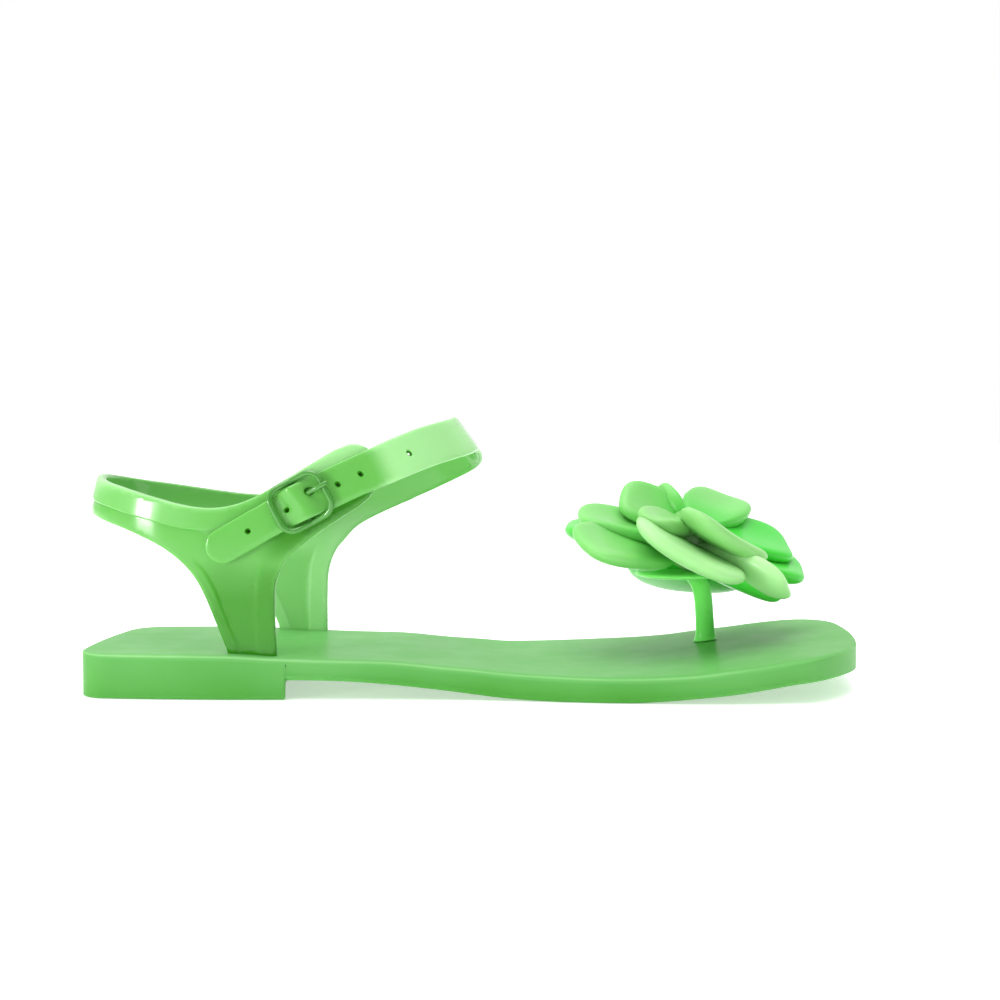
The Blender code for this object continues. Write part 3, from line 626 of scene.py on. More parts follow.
def loop_limits(height):
    """Rear end, front end and half width of the ankle loop at a height."""
    back = LOOP_BACK + BACK_LEAN * max(0.0, height - BACK_LOW)
    front = LOOP_FRONT - FRONT_LEAN * max(height - STRAP_LOW, -FRONT_LEAN_DEPTH)
    return back, front, curve_value(LOOP_ROWS, 1, height / MM) * MM


def loop_point(angle, height):
    """Point of the middle skin; angle 0 at the back, half turn at the front."""
    back, front, half = loop_limits(height)
    along = -math.cos(angle)
    side = -math.sin(angle)
    power = 2 / LOOP_POWER
    x = (back + front) / 2 + (front - back) / 2 * math.copysign(abs(along) ** power, along)
    y = LOOP_CENTRE_Y - half * math.copysign(abs(side) ** power, side)
    return Vector((x, y, height))


def runs_of(line):
    """Length of a line up to each of its points."""
    return np.concatenate(([0.0], np.cumsum([(b - a).length for a, b in zip(line, line[1:])])))


ANGLES = np.linspace(0.0, math.pi, 721)
LENGTHS = runs_of([loop_point(angle, LOOP_LEVEL) for angle in ANGLES])
HALF_LOOP = float(LENGTHS[-1])


def angle_of(run):
    """Angle round the loop at a run; half a loop back or forth is half a turn."""
    turns = math.floor((run + HALF_LOOP) / (2 * HALF_LOOP))
    rest = run - turns * 2 * HALF_LOOP
    angle = float(np.interp(abs(rest), LENGTHS, ANGLES))
    return math.copysign(angle, rest) + turns * 2 * math.pi


def run_of(side, x, height):
    """Run along the loop of a point named by side, place along the foot and height."""
    if side == "B":
        return 0.0
    if side == "F":
        return HALF_LOOP
    back, front, _ = loop_limits(height)
    share = (x - (back + front) / 2) / ((front - back) / 2)
    share = min(max(share, -1.0), 1.0)
    angle = math.acos(-math.copysign(abs(share) ** (LOOP_POWER / 2), share))
    run = float(np.interp(angle, ANGLES, LENGTHS))
    if side == "L":
        return -run
    if side == "O":
        return 2 * HALF_LOOP - run
    return run


# Where the strap starts to lie over the quarter, and where it lies fully over it.
OVER_START = run_of("O", -6 * MM, 82 * MM)
OVER_FULL = run_of("O", -27 * MM, 73 * MM)


def pattern(rows):
    """Points of the flat harness, run and height, from rows of side, place and height."""
    return [Vector((run_of(s, x * MM, z * MM), z * MM)) for s, x, z in rows]


def resampled(line, pitch):
    """Line with its points at about the pitch."""
    runs = runs_of(line)
    count = max(2, round(runs[-1] / pitch) + 1)
    marks = np.linspace(0, runs[-1], count)
    us = np.interp(marks, runs, [p.x for p in line])
    vs = np.interp(marks, runs, [p.y for p in line])
    return [Vector((float(u), float(v))) for u, v in zip(us, vs)]


def smoothed(points, pitch):
    """Centripetal curve through pattern points, resampled at about the pitch."""
    fine = []
    ends = [2 * points[0] - points[1]] + points + [2 * points[-1] - points[-2]]
    for p0, p1, p2, p3 in zip(ends, ends[1:], ends[2:], ends[3:]):
        k1 = (p1 - p0).length ** 0.5
        k2 = k1 + (p2 - p1).length ** 0.5
        k3 = k2 + (p3 - p2).length ** 0.5
        for i in range(CURVE_STEPS):
            k = k1 + (k2 - k1) * i / CURVE_STEPS
            a1 = p0 * ((k1 - k) / k1) + p1 * (k / k1)
            a2 = p1 * ((k2 - k) / (k2 - k1)) + p2 * ((k - k1) / (k2 - k1))
            a3 = p2 * ((k3 - k) / (k3 - k2)) + p3 * ((k - k2) / (k3 - k2))
            b1 = a1 * ((k2 - k) / k2) + a2 * (k / k2)
            b2 = a2 * ((k3 - k) / (k3 - k1)) + a3 * ((k - k1) / (k3 - k1))
            fine.append(b1 * ((k2 - k) / (k2 - k1)) + b2 * ((k - k1) / (k2 - k1)))
    fine.append(points[-1])
    return resampled(fine, pitch)


STRAP_MIDDLE = smoothed(pattern(STRAP_LINE), 0.5 * MM)
BUCKLE_GOAL = run_of("O", BUCKLE_X, BUCKLE_LEVEL)
BUCKLE_INDEX = min(
    range(len(STRAP_MIDDLE)), key=lambda i: abs(STRAP_MIDDLE[i].x - BUCKLE_GOAL)
)
BUCKLE_RUN, BUCKLE_HEIGHT = STRAP_MIDDLE[BUCKLE_INDEX]
BUCKLE_AHEAD = STRAP_MIDDLE[BUCKLE_INDEX - 8] - STRAP_MIDDLE[BUCKLE_INDEX + 8]
BUCKLE_SLOPE = math.atan2(BUCKLE_AHEAD.y, -BUCKLE_AHEAD.x)


def strap_along(run, height):
    """Distance from the buckle centre along the strap, forward positive."""
    ahead = (BUCKLE_RUN - run) * math.cos(BUCKLE_SLOPE)
    return ahead + (height - BUCKLE_HEIGHT) * math.sin(BUCKLE_SLOPE)


def skin_offset(run, height):
    """How far the middle skin stands off the loop, and the wall there."""
    over = smooth_step(run, OVER_START, OVER_FULL)
    wall = WALL + (STRAP_WALL - WALL) * smooth_step(run, THIN_FROM * HALF_LOOP, HALF_LOOP)
    off = over * (WALL / 2 + CLEARANCE + STRAP_WALL / 2)
    if run > OVER_FULL:
        along = abs(strap_along(run, height))
        if along < HUMP_REACH:
            off += STRAP_HUMP * math.cos(math.pi / 2 * along / HUMP_REACH) ** 2
    return off, wall


def skin_frame(run, height):
    """Point of the loop, its outward normal, how far the skin stands off and the wall."""
    tiny = 0.05 * MM
    here = loop_point(angle_of(run), height)
    along = loop_point(angle_of(run + tiny), height) - loop_point(angle_of(run - tiny), height)
    up = loop_point(angle_of(run), height + tiny) - loop_point(angle_of(run), height - tiny)
    out = along.cross(up).normalized()
    away = here - Vector((LOOP_MIDDLE, LOOP_CENTRE_Y, height))
    if out.dot(away) < 0:
        out = -out
    off, wall = skin_offset(run, height)
    return here, out, off, wall


def skin_point(spot, side, gain):
    """Point of the outer skin, side 1, or the inner skin, side -1, at a spot of the pattern."""
    here, out, off, wall = skin_frame(*spot)
    return here + out * (off + side * (wall / 2 + gain))


def sideways(ahead):
    """Direction to the left of a direction."""
    return Vector((-ahead.y, ahead.x)).normalized()


def offset_line(line, distance):
    """Open line moved to its left."""
    last = len(line) - 1
    return [
        point + sideways(line[min(i + 1, last)] - line[max(i - 1, 0)]) * distance
        for i, point in enumerate(line)
    ]


def inset(loop, distance):
    """Closed loop moved inwards, whichever way it turns."""
    after = loop[1:] + loop[:1]
    area = sum(a.x * b.y - b.x * a.y for a, b in zip(loop, after))
    turn = math.copysign(1, area)
    return [
        point + sideways(ahead - loop[i - 1]) * (distance * turn)
        for i, (point, ahead) in enumerate(zip(loop, after))
    ]


def harness_outline(pitch):
    """Edges of the harness pattern by name; "loop" is its whole closed outline."""
    middle = smoothed(pattern(STRAP_LINE), pitch)
    half = STRAP_WIDTH / 2
    lower = offset_line(middle, -half)
    upper = offset_line(middle, half)
    end = middle[-1]
    ahead = (middle[-1] - middle[-2]).normalized()
    side = sideways(ahead)
    tip = []
    for i in range(1, 20):
        turn = -math.pi / 2 + math.pi * i / 20
        tip.append(end + ahead * (half * math.cos(turn)) + side * (half * math.sin(turn)))
    join = max(2, round(STRAP_JOIN / pitch))
    front = smoothed(pattern(INNER_FRONT_EDGE) + lower[join - 1:join + 1], pitch)
    top = smoothed(upper[join:join - 2:-1] + pattern(INNER_TOP_EDGE), pitch)
    rear = smoothed(pattern(REAR_EDGE), pitch)
    outer = smoothed(pattern(OUTER_FRONT_EDGE), pitch)
    for line, ends in ((rear, (0, -1)), (front, (0,)), (outer, (-1,))):
        for i in ends:
            line[i] = line[i] - Vector((0, FOOT_DROP))
    foot_in = resampled([rear[-1], front[0]], pitch)
    foot_out = resampled([outer[-1], rear[0]], pitch)
    loop = (
        rear[:-1] + foot_in[:-1] + front[:-1] + lower[join:] + tip + upper[:join:-1]
        + top[:-1] + outer[:-1] + foot_out[:-1]
    )
    return {
        "loop": loop, "top": top, "rear": rear, "front": front, "outer": outer,
        "strap": lower[join:],
    }


def inside_mask(points, loop):
    """Which of the points lie inside a closed loop."""
    px = points[:, 0]
    py = points[:, 1]
    hit = np.zeros(len(points), bool)
    for a, b in zip(loop, loop[1:] + loop[:1]):
        if a.y == b.y:
            continue
        cross = (a.y > py) != (b.y > py)
        hit ^= cross & (px < (b.x - a.x) * (py - a.y) / (b.y - a.y) + a.x)
    return hit


def distance_to(points, line, closed=False):
    """Least distance of each point to a line."""
    best = np.full(len(points), np.inf)
    ends = line[1:] + (line[:1] if closed else [])
    for a, b in zip(line, ends):
        one = np.array(a)
        span = np.array(b) - one
        size = float(span @ span)
        if size == 0:
            continue
        share = np.clip(((points - one) @ span) / size, 0, 1)
        gap = points - one - share[:, None] * span
        best = np.minimum(best, np.hypot(gap[:, 0], gap[:, 1]))
    return best


def nearest(points, lines, closed=False):
    """Least distance of each point to any of the lines."""
    return np.min([distance_to(points, line, closed) for line in lines], axis=0)


def circle(sides):
    """Directions all round, as many as there are sides."""
    turns = [math.tau * i / sides for i in range(sides)]
    return [Vector((math.cos(turn), math.sin(turn))) for turn in turns]


def hole_loops():
    """Closed loops of the strap's holes and, last, of the slot for the prong."""
    loops = []
    for x in STRAP_HOLES:
        goal = run_of("O", x * MM, HEEL_HEIGHT + HOLE_LEVEL)
        centre = min(STRAP_MIDDLE, key=lambda p: abs(p.x - goal))
        loops.append([centre + HOLE_RADIUS * way for way in circle(HOLE_SIDES)])
    slot = []
    for way in circle(SLOT_SIDES):
        along = SLOT_AHEAD + SLOT_LENGTH / 2 * way.x
        aside = PRONG_SHIFT + SLOT_WIDTH / 2 * way.y
        run = BUCKLE_RUN - along * math.cos(BUCKLE_SLOPE) + aside * math.sin(BUCKLE_SLOPE)
        height = BUCKLE_HEIGHT + along * math.sin(BUCKLE_SLOPE) + aside * math.cos(BUCKLE_SLOPE)
        slot.append(Vector((run, height)))
    return loops + [slot]


def fillet(distance, radius):
    """How far the skin drops at a distance from a rounded rim."""
    near = np.clip(distance / radius, 0, 1)
    return radius * (1 - np.sqrt(np.clip(1 - (1 - near) ** 2, 0, 1)))


def guide_lines(lines):
    """Lines of the pattern where the relief starts and ends, so the mesh follows them."""
    guides = []
    for name, distance in (
        ("top", BAND_WIDTH), ("rear", REAR_RIB), ("outer", OUTER_RIB), ("front", INNER_RIB)
    ):
        line = lines[name]
        half = len(line) // 2
        probe = line[half] + sideways(line[half + 1] - line[half]) * MM
        sign = 1 if inside_mask(np.array([probe]), lines["loop"])[0] else -1
        for extra in (0.0, STEP_WIDTH):
            moved = offset_line(line, sign * (distance + extra))
            if name != "top":
                moved = [p for p in moved if p.y < HEEL_HEIGHT + RIB_TOP]
            guides.append(moved)
    return guides


def harness_relief(flat, gaps, sizes):
    """Extra height, and the painted light and shade of the outer and the inner skin.

    The heel strap carries a raised band. Each post has a sunk panel between two ribs.
    """
    run = flat[:, 0]
    rise = flat[:, 1] - HEEL_HEIGHT
    outer_side = np.where(run < 0, 1.0, 0.0)
    inner_side = 1 - outer_side
    strap = smooth_step(run, OVER_START - 30 * MM, OVER_START)
    low = 1 - smooth_step(rise, 24 * MM, 31 * MM)
    front_gap = np.where(run < 0, gaps["outer"] - OUTER_RIB, gaps["front"] - INNER_RIB)

    # The band fades out over the quarter, and the panels end below it.
    band_start = run_of("L", -100 * MM, HEEL_HEIGHT + 46 * MM)
    band_end = run_of("L", -62 * MM, HEEL_HEIGHT + 44 * MM)
    band = 1 - smooth_step(gaps["top"], BAND_WIDTH, BAND_WIDTH + STEP_WIDTH)
    band *= (1 - smooth_step(run, band_start, band_end)) * (1 - strap)
    panel = smooth_step(gaps["rear"], REAR_RIB, REAR_RIB + STEP_WIDTH) * low
    panel *= smooth_step(front_gap, 0.0, STEP_WIDTH)
    outer = band * sizes.band_rise - panel * outer_side * sizes.panel_depth
    inner = -panel * inner_side * sizes.panel_depth

    # Outer skin: painted shade at the foot of the posts and in the sunk panels, darker beside the
    # front rib.
    foot = 1 - smooth_step(rise, 6 * MM, 34 * MM)
    near_front = 1 - smooth_step(front_gap, -0.5 * MM, 0.5 * MM)
    shade = outer_side * (1.1 * foot + 0.2 * panel + 0.35 * near_front * low)
    # Painted shadow cast by the strap on the quarter, round the strap's end.
    strap_shadow = 1 - smooth_step(gaps["strap"], 1 * MM, 12 * MM)
    strap_shadow *= smooth_step(run, run_of("L", -72 * MM, 50 * MM), run_of("L", -58 * MM, 50 * MM))
    shade = np.maximum(shade, 1.1 * strap_shadow * outer_side)
    # Painted light on the strap, the tab and the band; darker where the strap lies over the quarter.
    tab = outer_side * smooth_step(rise, 48 * MM, 60 * MM) * (1 - strap)
    lies_over = smooth_step(run, OVER_FULL - 2 * MM, OVER_FULL + 12 * MM)
    shade += 1.1 * lies_over - strap - tab - 0.35 * band * outer_side

    # Inner skin: painted light, most of it low on the inner post.
    medial = inner_side * (1 - smooth_step(rise, 30 * MM, 48 * MM)) * (1 - strap)
    inside = -0.2 - (0.6 - 0.3 * panel) * medial
    # Painted shade inside the holes and a painted highlight along the rims, on both skins.
    hole = 1 - smooth_step(gaps["hole"], 0.0, 0.3 * MM)
    rim = 1 - smooth_step(gaps["rim"], 0.4 * MM, 1.2 * MM)
    return outer, inner, shade - 0.25 * rim + 1.5 * hole, inside + 1.5 * hole


def staggered_grid(outline, pitch):
    """Points of a staggered grid inside the outline."""
    low = min(p.x for p in outline)
    high = max(p.x for p in outline)
    row = 0.87 * pitch
    spots = []
    for j in range(int(PATTERN_HEIGHT / row)):
        shift = 0.5 * pitch * (j % 2)
        for i in range(int((high - low) / pitch) + 1):
            spots.append((low + i * pitch + shift, j * pitch * 0.87))
    spots = np.array(spots)
    return spots[inside_mask(spots, outline)]


def flat_pattern(lines, holes, sizes):
    """Points and triangles of the flat harness, with rows along the rims and the relief."""
    pitch = sizes.mesh_pitch
    rim = sizes.strap_round
    outline = lines["loop"]
    loops = [outline] + [inset(outline, share * rim) for share in (0.15, 0.4, 0.8)] + holes
    guides = guide_lines(lines)
    for hole in holes:
        wider = inset(hole, -HOLE_RIM)
        guides.append(wider + wider[:1])
    points = []
    edges = []
    for loop in loops:
        first = len(points)
        points += loop
        edges += [(first + i, first + (i + 1) % len(loop)) for i in range(len(loop))]
    for line in guides:
        first = len(points)
        points += line
        edges += [(first + i, first + i + 1) for i in range(len(line) - 1)]
    grid = staggered_grid(outline, pitch)
    clear = distance_to(grid, outline, True) > 0.8 * rim + 0.45 * pitch
    clear &= nearest(grid, holes, True) > 0.4 * pitch
    clear &= nearest(grid, guides) > 0.35 * pitch
    points += [Vector((float(u), float(v))) for u, v in grid[clear]]
    verts, _, faces, *_ = delaunay_2d_cdt(points, edges, [], 0, 1e-7)
    flat = np.array([(v.x, v.y) for v in verts])
    centres = np.array([flat[face].mean(axis=0) for face in faces])
    keep = inside_mask(centres, outline)
    for hole in holes:
        keep &= ~inside_mask(centres, hole)
    kept = [face for face, good in zip(faces, keep) if good]
    used = sorted({i for face in kept for i in face})
    order = {old: new for new, old in enumerate(used)}
    return flat[used], [tuple(order[i] for i in face) for face in kept]


def narrowed(flat, holes):
    """Pattern points of the inner skin, where the strap's holes are narrower."""
    back = flat.copy()
    for hole in holes[:-1]:
        centre = np.mean([tuple(p) for p in hole], axis=0)
        edge = np.hypot(*(flat - centre).T) < 1.05 * HOLE_RADIUS
        back[edge] = centre + HOLE_TAPER * (flat[edge] - centre)
    return back


def closed_shell(faces, count):
    """Faces of the outer and inner skin, and of the rims that join them."""
    borders = dict.fromkeys(pair for face in faces for pair in zip(face, face[1:] + face[:1]))
    back = [tuple(i + count for i in reversed(face)) for face in faces]
    rims = [(b, a, a + count, b + count) for a, b in borders if (b, a) not in borders]
    return faces + back + rims


def harness_mesh(sizes):
    """Points, faces and shades of the harness from its flat pattern, rims rounded."""
    lines = harness_outline(sizes.mesh_pitch)
    holes = hole_loops()
    flat, faces = flat_pattern(lines, holes, sizes)
    gaps = {name: distance_to(flat, lines[name]) for name in ("top", "rear", "front", "outer")}
    gaps["rim"] = distance_to(flat, lines["loop"], True)
    gaps["hole"] = nearest(flat, holes, True)
    level = HEEL_HEIGHT + HOLE_LEVEL
    turn = run_of("O", BUCKLE_X, level) - run_of("L", BUCKLE_X, level)
    gaps["strap"] = distance_to(flat + np.array([turn, 0.0]), lines["strap"])
    out_relief, in_relief, out_shade, in_shade = harness_relief(flat, gaps, sizes)
    loss = np.maximum(fillet(gaps["rim"], sizes.strap_round), fillet(gaps["hole"], HOLE_ROUND))
    outer = [skin_point(*row) for row in zip(flat, [1] * len(flat), out_relief - loss)]
    inner = [
        skin_point(*row) for row in zip(narrowed(flat, holes), [-1] * len(flat), in_relief - loss)
    ]
    return outer + inner, closed_shell(faces, len(flat)), np.concatenate([out_shade, in_shade])


def mesh_piece(name, points, faces):
    mesh = bpy.data.meshes.new(name)
    mesh.from_pydata(points, [], faces)
    mesh.update()
    thing = bpy.data.objects.new(name, mesh)
    bpy.context.collection.objects.link(thing)
    return thing


def buckle_axes():
    """Origin on the quarter's outer face under the buckle, with along, across and out."""
    run = BUCKLE_RUN - 2 * HALF_LOOP
    here, out, off, wall = skin_frame(run, BUCKLE_HEIGHT)
    origin = here + out * (off + wall / 2)
    step = 1.0 * MM
    there, out2, off2, wall2 = skin_frame(
        run - step * math.cos(BUCKLE_SLOPE), BUCKLE_HEIGHT + step * math.sin(BUCKLE_SLOPE)
    )
    along = (there + out2 * (off2 + wall2 / 2) - origin).normalized()
    across = out.cross(along).normalized()
    out = along.cross(across).normalized()
    return origin, along, across, out


def flower_axis():
    return Matrix.Rotation(FLOWER_TILT, 3, "Y") @ Vector((0, 0, 1))


def flower_hub(level):
    base = Vector((FLOWER_X, FLOWER_Y, FLOWER_Z))
    return base + flower_axis() * (LEVEL_RISE * (level + 0.5))


SHIFT = sole_shift()


class SANDAL_OT_sole(Operator):
    """Moulded sole with its heel step, rounded rims and plain underside"""

    bl_idname = "sandal.sole"
    bl_label = "Sole"

    def execute(self, context):
        sizes = context.scene.sandal_sizes
        colours = context.scene.sandal_colours
        stations = self.stations()
        deselect()
        bpy.ops.mesh.primitive_grid_add(
            x_subdivisions=len(stations) - 1, y_subdivisions=ACROSS_STEPS, size=1.0
        )
        sole = start("sole_body")
        heights = self.lay_footbed(sole, stations)
        edit(sole, self.drop)
        points = points_of(sole)
        for point, vertex in zip(points, sole.data.vertices):
            if vertex.select:
                point[2] = heights[self.seen_from_above(point)]
        set_points(sole, points)
        edit(sole, outwards)
        self.round_rims(sole, sizes.edge_round)
        smooth(sole, 42.0)
        self.tone(sole)
        material = plastic(
            "sole_plastic", colours.sole, colours.shade_green, colours.lit_green,
            roughness=0.4, subsurface=0.15, gloss=0.15,
        )
        finish_piece(sole, material, "sole_jelly", "sole")
        return {"FINISHED"}

    @staticmethod
    def stations():
        """Places along the length: share, in front of the heel step, on the step's face."""

        def corner(radius, count):
            turns = [math.pi / 2 * i / count for i in range(count + 1)]
            return [radius * (1 - math.cos(turn)) / SOLE_LENGTH for turn in turns]

        def spread(first, last):
            return np.arange(first, last, STATION_STEP).tolist()

        heel = corner(HEEL_CORNER, HEEL_STATIONS)
        toe = corner(TOE_CORNER_OUTER, TOE_STATIONS)
        rear = heel[:-1] + spread(heel[-1], HEEL_BREAST - GAP_BEHIND_STEP)
        front = spread(HEEL_BREAST + GAP_AHEAD_OF_STEP, 1 - toe[-1] - STATION_STEP / 2)
        front += [1 - share for share in reversed(toe)]
        return (
            [(place, False, False) for place in rear]
            + [(HEEL_BREAST - STEP_SLANT, False, True), (HEEL_BREAST, True, True)]
            + [(place, True, False) for place in front]
        )

    @staticmethod
    def seen_from_above(point):
        return round(point[0], 7), round(point[1], 7)

    def lay_footbed(self, sole, stations):
        """Lay the grid on the footbed, and give the underside's height below each point."""
        flat = points_of(sole)
        columns = np.unique(np.round(flat[:, 0], 6))
        points = np.empty_like(flat)
        below = []
        for i, (u, v, _) in enumerate(flat):
            place, in_front, at_breast = stations[int(np.searchsorted(columns, round(u, 6)))]
            outer, inner = sole_edges(place)
            y = outer + (inner - outer) * (v + 0.5)
            points[i] = (sole_place_x(place, y, at_breast), y, footbed_height(place))
            below.append(under_height(place, in_front))
        set_points(sole, points)
        return dict(zip(map(self.seen_from_above, points_of(sole)), below))

    @staticmethod
    def drop():
        """Extrude the footbed down by the heel's height."""
        bpy.ops.mesh.select_all(action="SELECT")
        bpy.ops.mesh.extrude_region_move(TRANSFORM_OT_translate={"value": (0, 0, -HEEL_HEIGHT)})

    @staticmethod
    def round_rims(sole, radius):
        """Round the sharp rims, less towards both ends where the corners turn."""
        mesh = sole.data
        normals = {}
        for face in mesh.polygons:
            for key in face.edge_keys:
                normals.setdefault(key, []).append(face.normal)
        weights = []
        for edge in mesh.edges:
            one, two = normals[edge.key]
            x, y, _ = sum((mesh.vertices[i].co for i in edge.vertices), Vector()) / 2
            back = BACK_BOW * (y - BACK_BOW_CENTRE) ** 2 - SOLE_LENGTH / 2
            front = SOLE_LENGTH / 2 - FRONT_BOW * (y - FRONT_BOW_CENTRE) ** 2
            room = min((x - back) / HEEL_CORNER, (front - x) / TOE_CORNER_OUTER)
            weight = min(1.0, max(END_ROUND, room))
            if abs(one.x) > 0.7 or abs(two.x) > 0.7:
                weight = min(weight, BREAST_ROUND)
            weights.append(weight if one.dot(two) < SHARP_RIM else 0.0)
        layer = mesh.attributes.new("bevel_weight_edge", "FLOAT", "EDGE")
        layer.data.foreach_set("value", weights)
        step = sole.modifiers.new("rims", "BEVEL")
        step.width = radius
        step.segments = 4
        step.limit_method = "WEIGHT"
        step.use_clamp_overlap = False
        apply_modifiers(sole)

    @staticmethod
    def tone(sole):
        """Painted shade and light: sides darker than the footbed, as shade under a light from above,
        most at the heel side, palest at the toe end.
        """
        points = points_of(sole)
        up = normals_up(sole)
        side = 1 - smooth_step(up, 0.25, 0.75)
        share = points[:, 0] / SOLE_LENGTH + 0.5
        heel = 1 - smooth_step(share, HEEL_BREAST - 0.01, HEEL_BREAST + 0.01)
        toe = smooth_step(share, 0.86, 1.0)
        arch = smooth_step(share, 0.3, 0.45) * (1 - smooth_step(share, 0.65, 0.86))
        # Sides: painted shade, darker at the heel and the arch, paler at the toe end.
        shades = side * (0.14 + 0.16 * heel + 0.22 * arch - 0.5 * toe)
        # Painted highlight along the rounded rims.
        rim = smooth_step(up, 0.25, 0.5) * (1 - smooth_step(up, 0.85, 0.98))
        shades -= 0.45 * rim
        # Painted shade on the faces that look down.
        shades += 0.25 * (1 - smooth_step(up, -0.1, 0.1))
        # Footbed: painted shade towards the toe, under the flower, and painted light at the heel.
        shades += (1 - side) * (0.25 * smooth_step(share, 0.72, 0.9) - 0.1 * heel)
        set_shade(sole, shades)


class SANDAL_OT_harness(Operator):
    """Ankle harness: two posts, heel strap, tab and the strap that wraps to the buckle"""

    bl_idname = "sandal.harness"
    bl_label = "Ankle harness"

    def execute(self, context):
        sizes = context.scene.sandal_sizes
        colours = context.scene.sandal_colours
        points, faces, shades = harness_mesh(sizes)
        harness = mesh_piece("harness", points, faces)
        set_shade(harness, shades)
        edit(harness, outwards)
        smooth(harness, 40.0)
        material = plastic(
            "harness_plastic", colours.harness, colours.shade_green, colours.lit_green,
            roughness=0.16, subsurface=0.25, gloss=0.55,
        )
        finish_piece(harness, material, "harness_jelly", "upper")
        for name, side in (("lug_lower", -1), ("lug_upper", 1)):
            self.lug(name, side, material)
        return {"FINISHED"}

    @staticmethod
    def lug(name, side, material):
        """Rounded sleeve that carries the buckle's centre bar."""
        middle = (LUG_RADIUS + CENTRE_BAR + LUG_GAP) / 2
        half = (LUG_RADIUS - CENTRE_BAR - LUG_GAP) / 2
        deselect()
        bpy.ops.mesh.primitive_torus_add(
            major_segments=28, minor_segments=12, major_radius=TORUS, minor_radius=1.0
        )
        lug = start(name)
        origin, along, across, out = buckle_axes()
        points = []
        for x, y, z in points_of(lug):
            radius = math.hypot(x, y)
            swing = radius - TORUS
            square = max(abs(swing), abs(z)) / max(math.hypot(swing, z), 1e-9)
            grow = 1 + 0.6 * (1 / square - 1)
            ring = (middle + swing * half * grow) / radius
            points.append(
                origin + along * (ring * x) + out * (CENTRE_BAR_RISE + ring * y)
                + across * (side * LUG_OFFSET + z * grow * LUG_WIDTH / 2)
            )
        reshape(lug, points, 60.0)
        finish_piece(lug, material, "harness_jelly")


class SANDAL_OT_buckle(Operator):
    """Ring buckle with its centre bar and prong"""

    bl_idname = "sandal.buckle"
    bl_label = "Buckle"

    def execute(self, context):
        colours = context.scene.sandal_colours
        material = plastic(
            "buckle_plastic", colours.buckle, colours.shade_green, colours.lit_green,
            roughness=0.15, subsurface=0.1,
        )
        self.ring(material)
        self.bar(material)
        self.prong(material)
        return {"FINISHED"}

    @staticmethod
    def ring(material):
        """Ring with round corners, higher at its ends, where the strap passes under it."""
        deselect()
        bpy.ops.mesh.primitive_torus_add(
            major_segments=112, minor_segments=16, major_radius=TORUS, minor_radius=1.0
        )
        ring = start("buckle_ring")
        half_length = BUCKLE_LENGTH / 2 - BUCKLE_BAR
        low = CENTRE_BAR_RISE + BUCKLE_GAP
        high = CLEARANCE + STRAP_WALL + BUCKLE_GAP + BUCKLE_BAR
        path = []
        for qx, qy, begin in ((1, 1, 0), (-1, 1, 90), (-1, -1, 180), (1, -1, 270)):
            for i in range(9):
                turn = math.radians(begin + 90 * i / 8)
                path.append(Vector((
                    qx * (half_length - BUCKLE_CORNER) + BUCKLE_CORNER * math.cos(turn),
                    qy * (BUCKLE_HALF_WIDTH - BUCKLE_CORNER) + BUCKLE_CORNER * math.sin(turn),
                )))
        closed = path + path[:1]
        runs = runs_of(closed)
        origin, along, across, out = buckle_axes()

        def centre(share):
            mark = (share % 1.0) * runs[-1]
            u = float(np.interp(mark, runs, [p.x for p in closed]))
            v = float(np.interp(mark, runs, [p.y for p in closed]))
            lift = low + (high - low) * abs(u) / half_length
            return origin + along * u + across * (v + FRAME_SHIFT) + out * lift

        points = []
        for x, y, z in points_of(ring):
            share = (math.atan2(y, x) / math.tau) % 1.0
            here = centre(share)
            ahead = (centre(share + 0.004) - centre(share - 0.004)).normalized()
            side = ahead.cross(out).normalized()
            up = side.cross(ahead).normalized()
            swing = math.hypot(x, y) - TORUS
            points.append(here + side * (swing * BUCKLE_BAR) + up * (z * BUCKLE_BAR))
        reshape(ring, points, 70.0)
        finish_piece(ring, material, "buckle_jelly", "buckle_frame")

    @staticmethod
    def rod(name, centre, half_side, half_up, out):
        """Round-ended rod along centre(share), shaped from a sphere."""
        deselect()
        bpy.ops.mesh.primitive_uv_sphere_add(segments=16, ring_count=30, radius=1.0)
        rod = start(name)
        points = []
        for x, y, z in points_of(rod):
            share = 0.5 + 0.5 * z
            ahead = (centre(min(share + 0.01, 1)) - centre(max(share - 0.01, 0))).normalized()
            side = ahead.cross(out).normalized()
            up = side.cross(ahead).normalized()
            radius = math.hypot(x, y)
            if radius > 1e-9:
                x, y = [part / radius * min(1.0, radius / 0.35) ** 0.5 for part in (x, y)]
            points.append(centre(share) + side * (x * half_side) + up * (y * half_up))
        reshape(rod, points, 70.0)
        return rod

    def bar(self, material):
        origin, _, across, out = buckle_axes()

        def centre(share):
            return origin + out * CENTRE_BAR_RISE + across * ((2 * share - 1) * BUCKLE_HALF_WIDTH)

        rod = self.rod("buckle_bar", centre, CENTRE_BAR, CENTRE_BAR, out)
        finish_piece(rod, material, "buckle_jelly")

    def prong(self, material):
        origin, along, across, out = buckle_axes()
        marks = np.linspace(0, 1, len(PRONG_ROWS))
        places, rises = zip(*PRONG_ROWS)

        def centre(share):
            u = float(np.interp(share, marks, places)) * MM
            rise = float(np.interp(share, marks, rises)) * MM
            return origin + along * u + across * PRONG_SHIFT + out * rise

        rod = self.rod("buckle_pin", centre, PRONG_WIDTH / 2, PRONG_THICK / 2, out)
        finish_piece(rod, material, "prong_jelly", "buckle_prong")


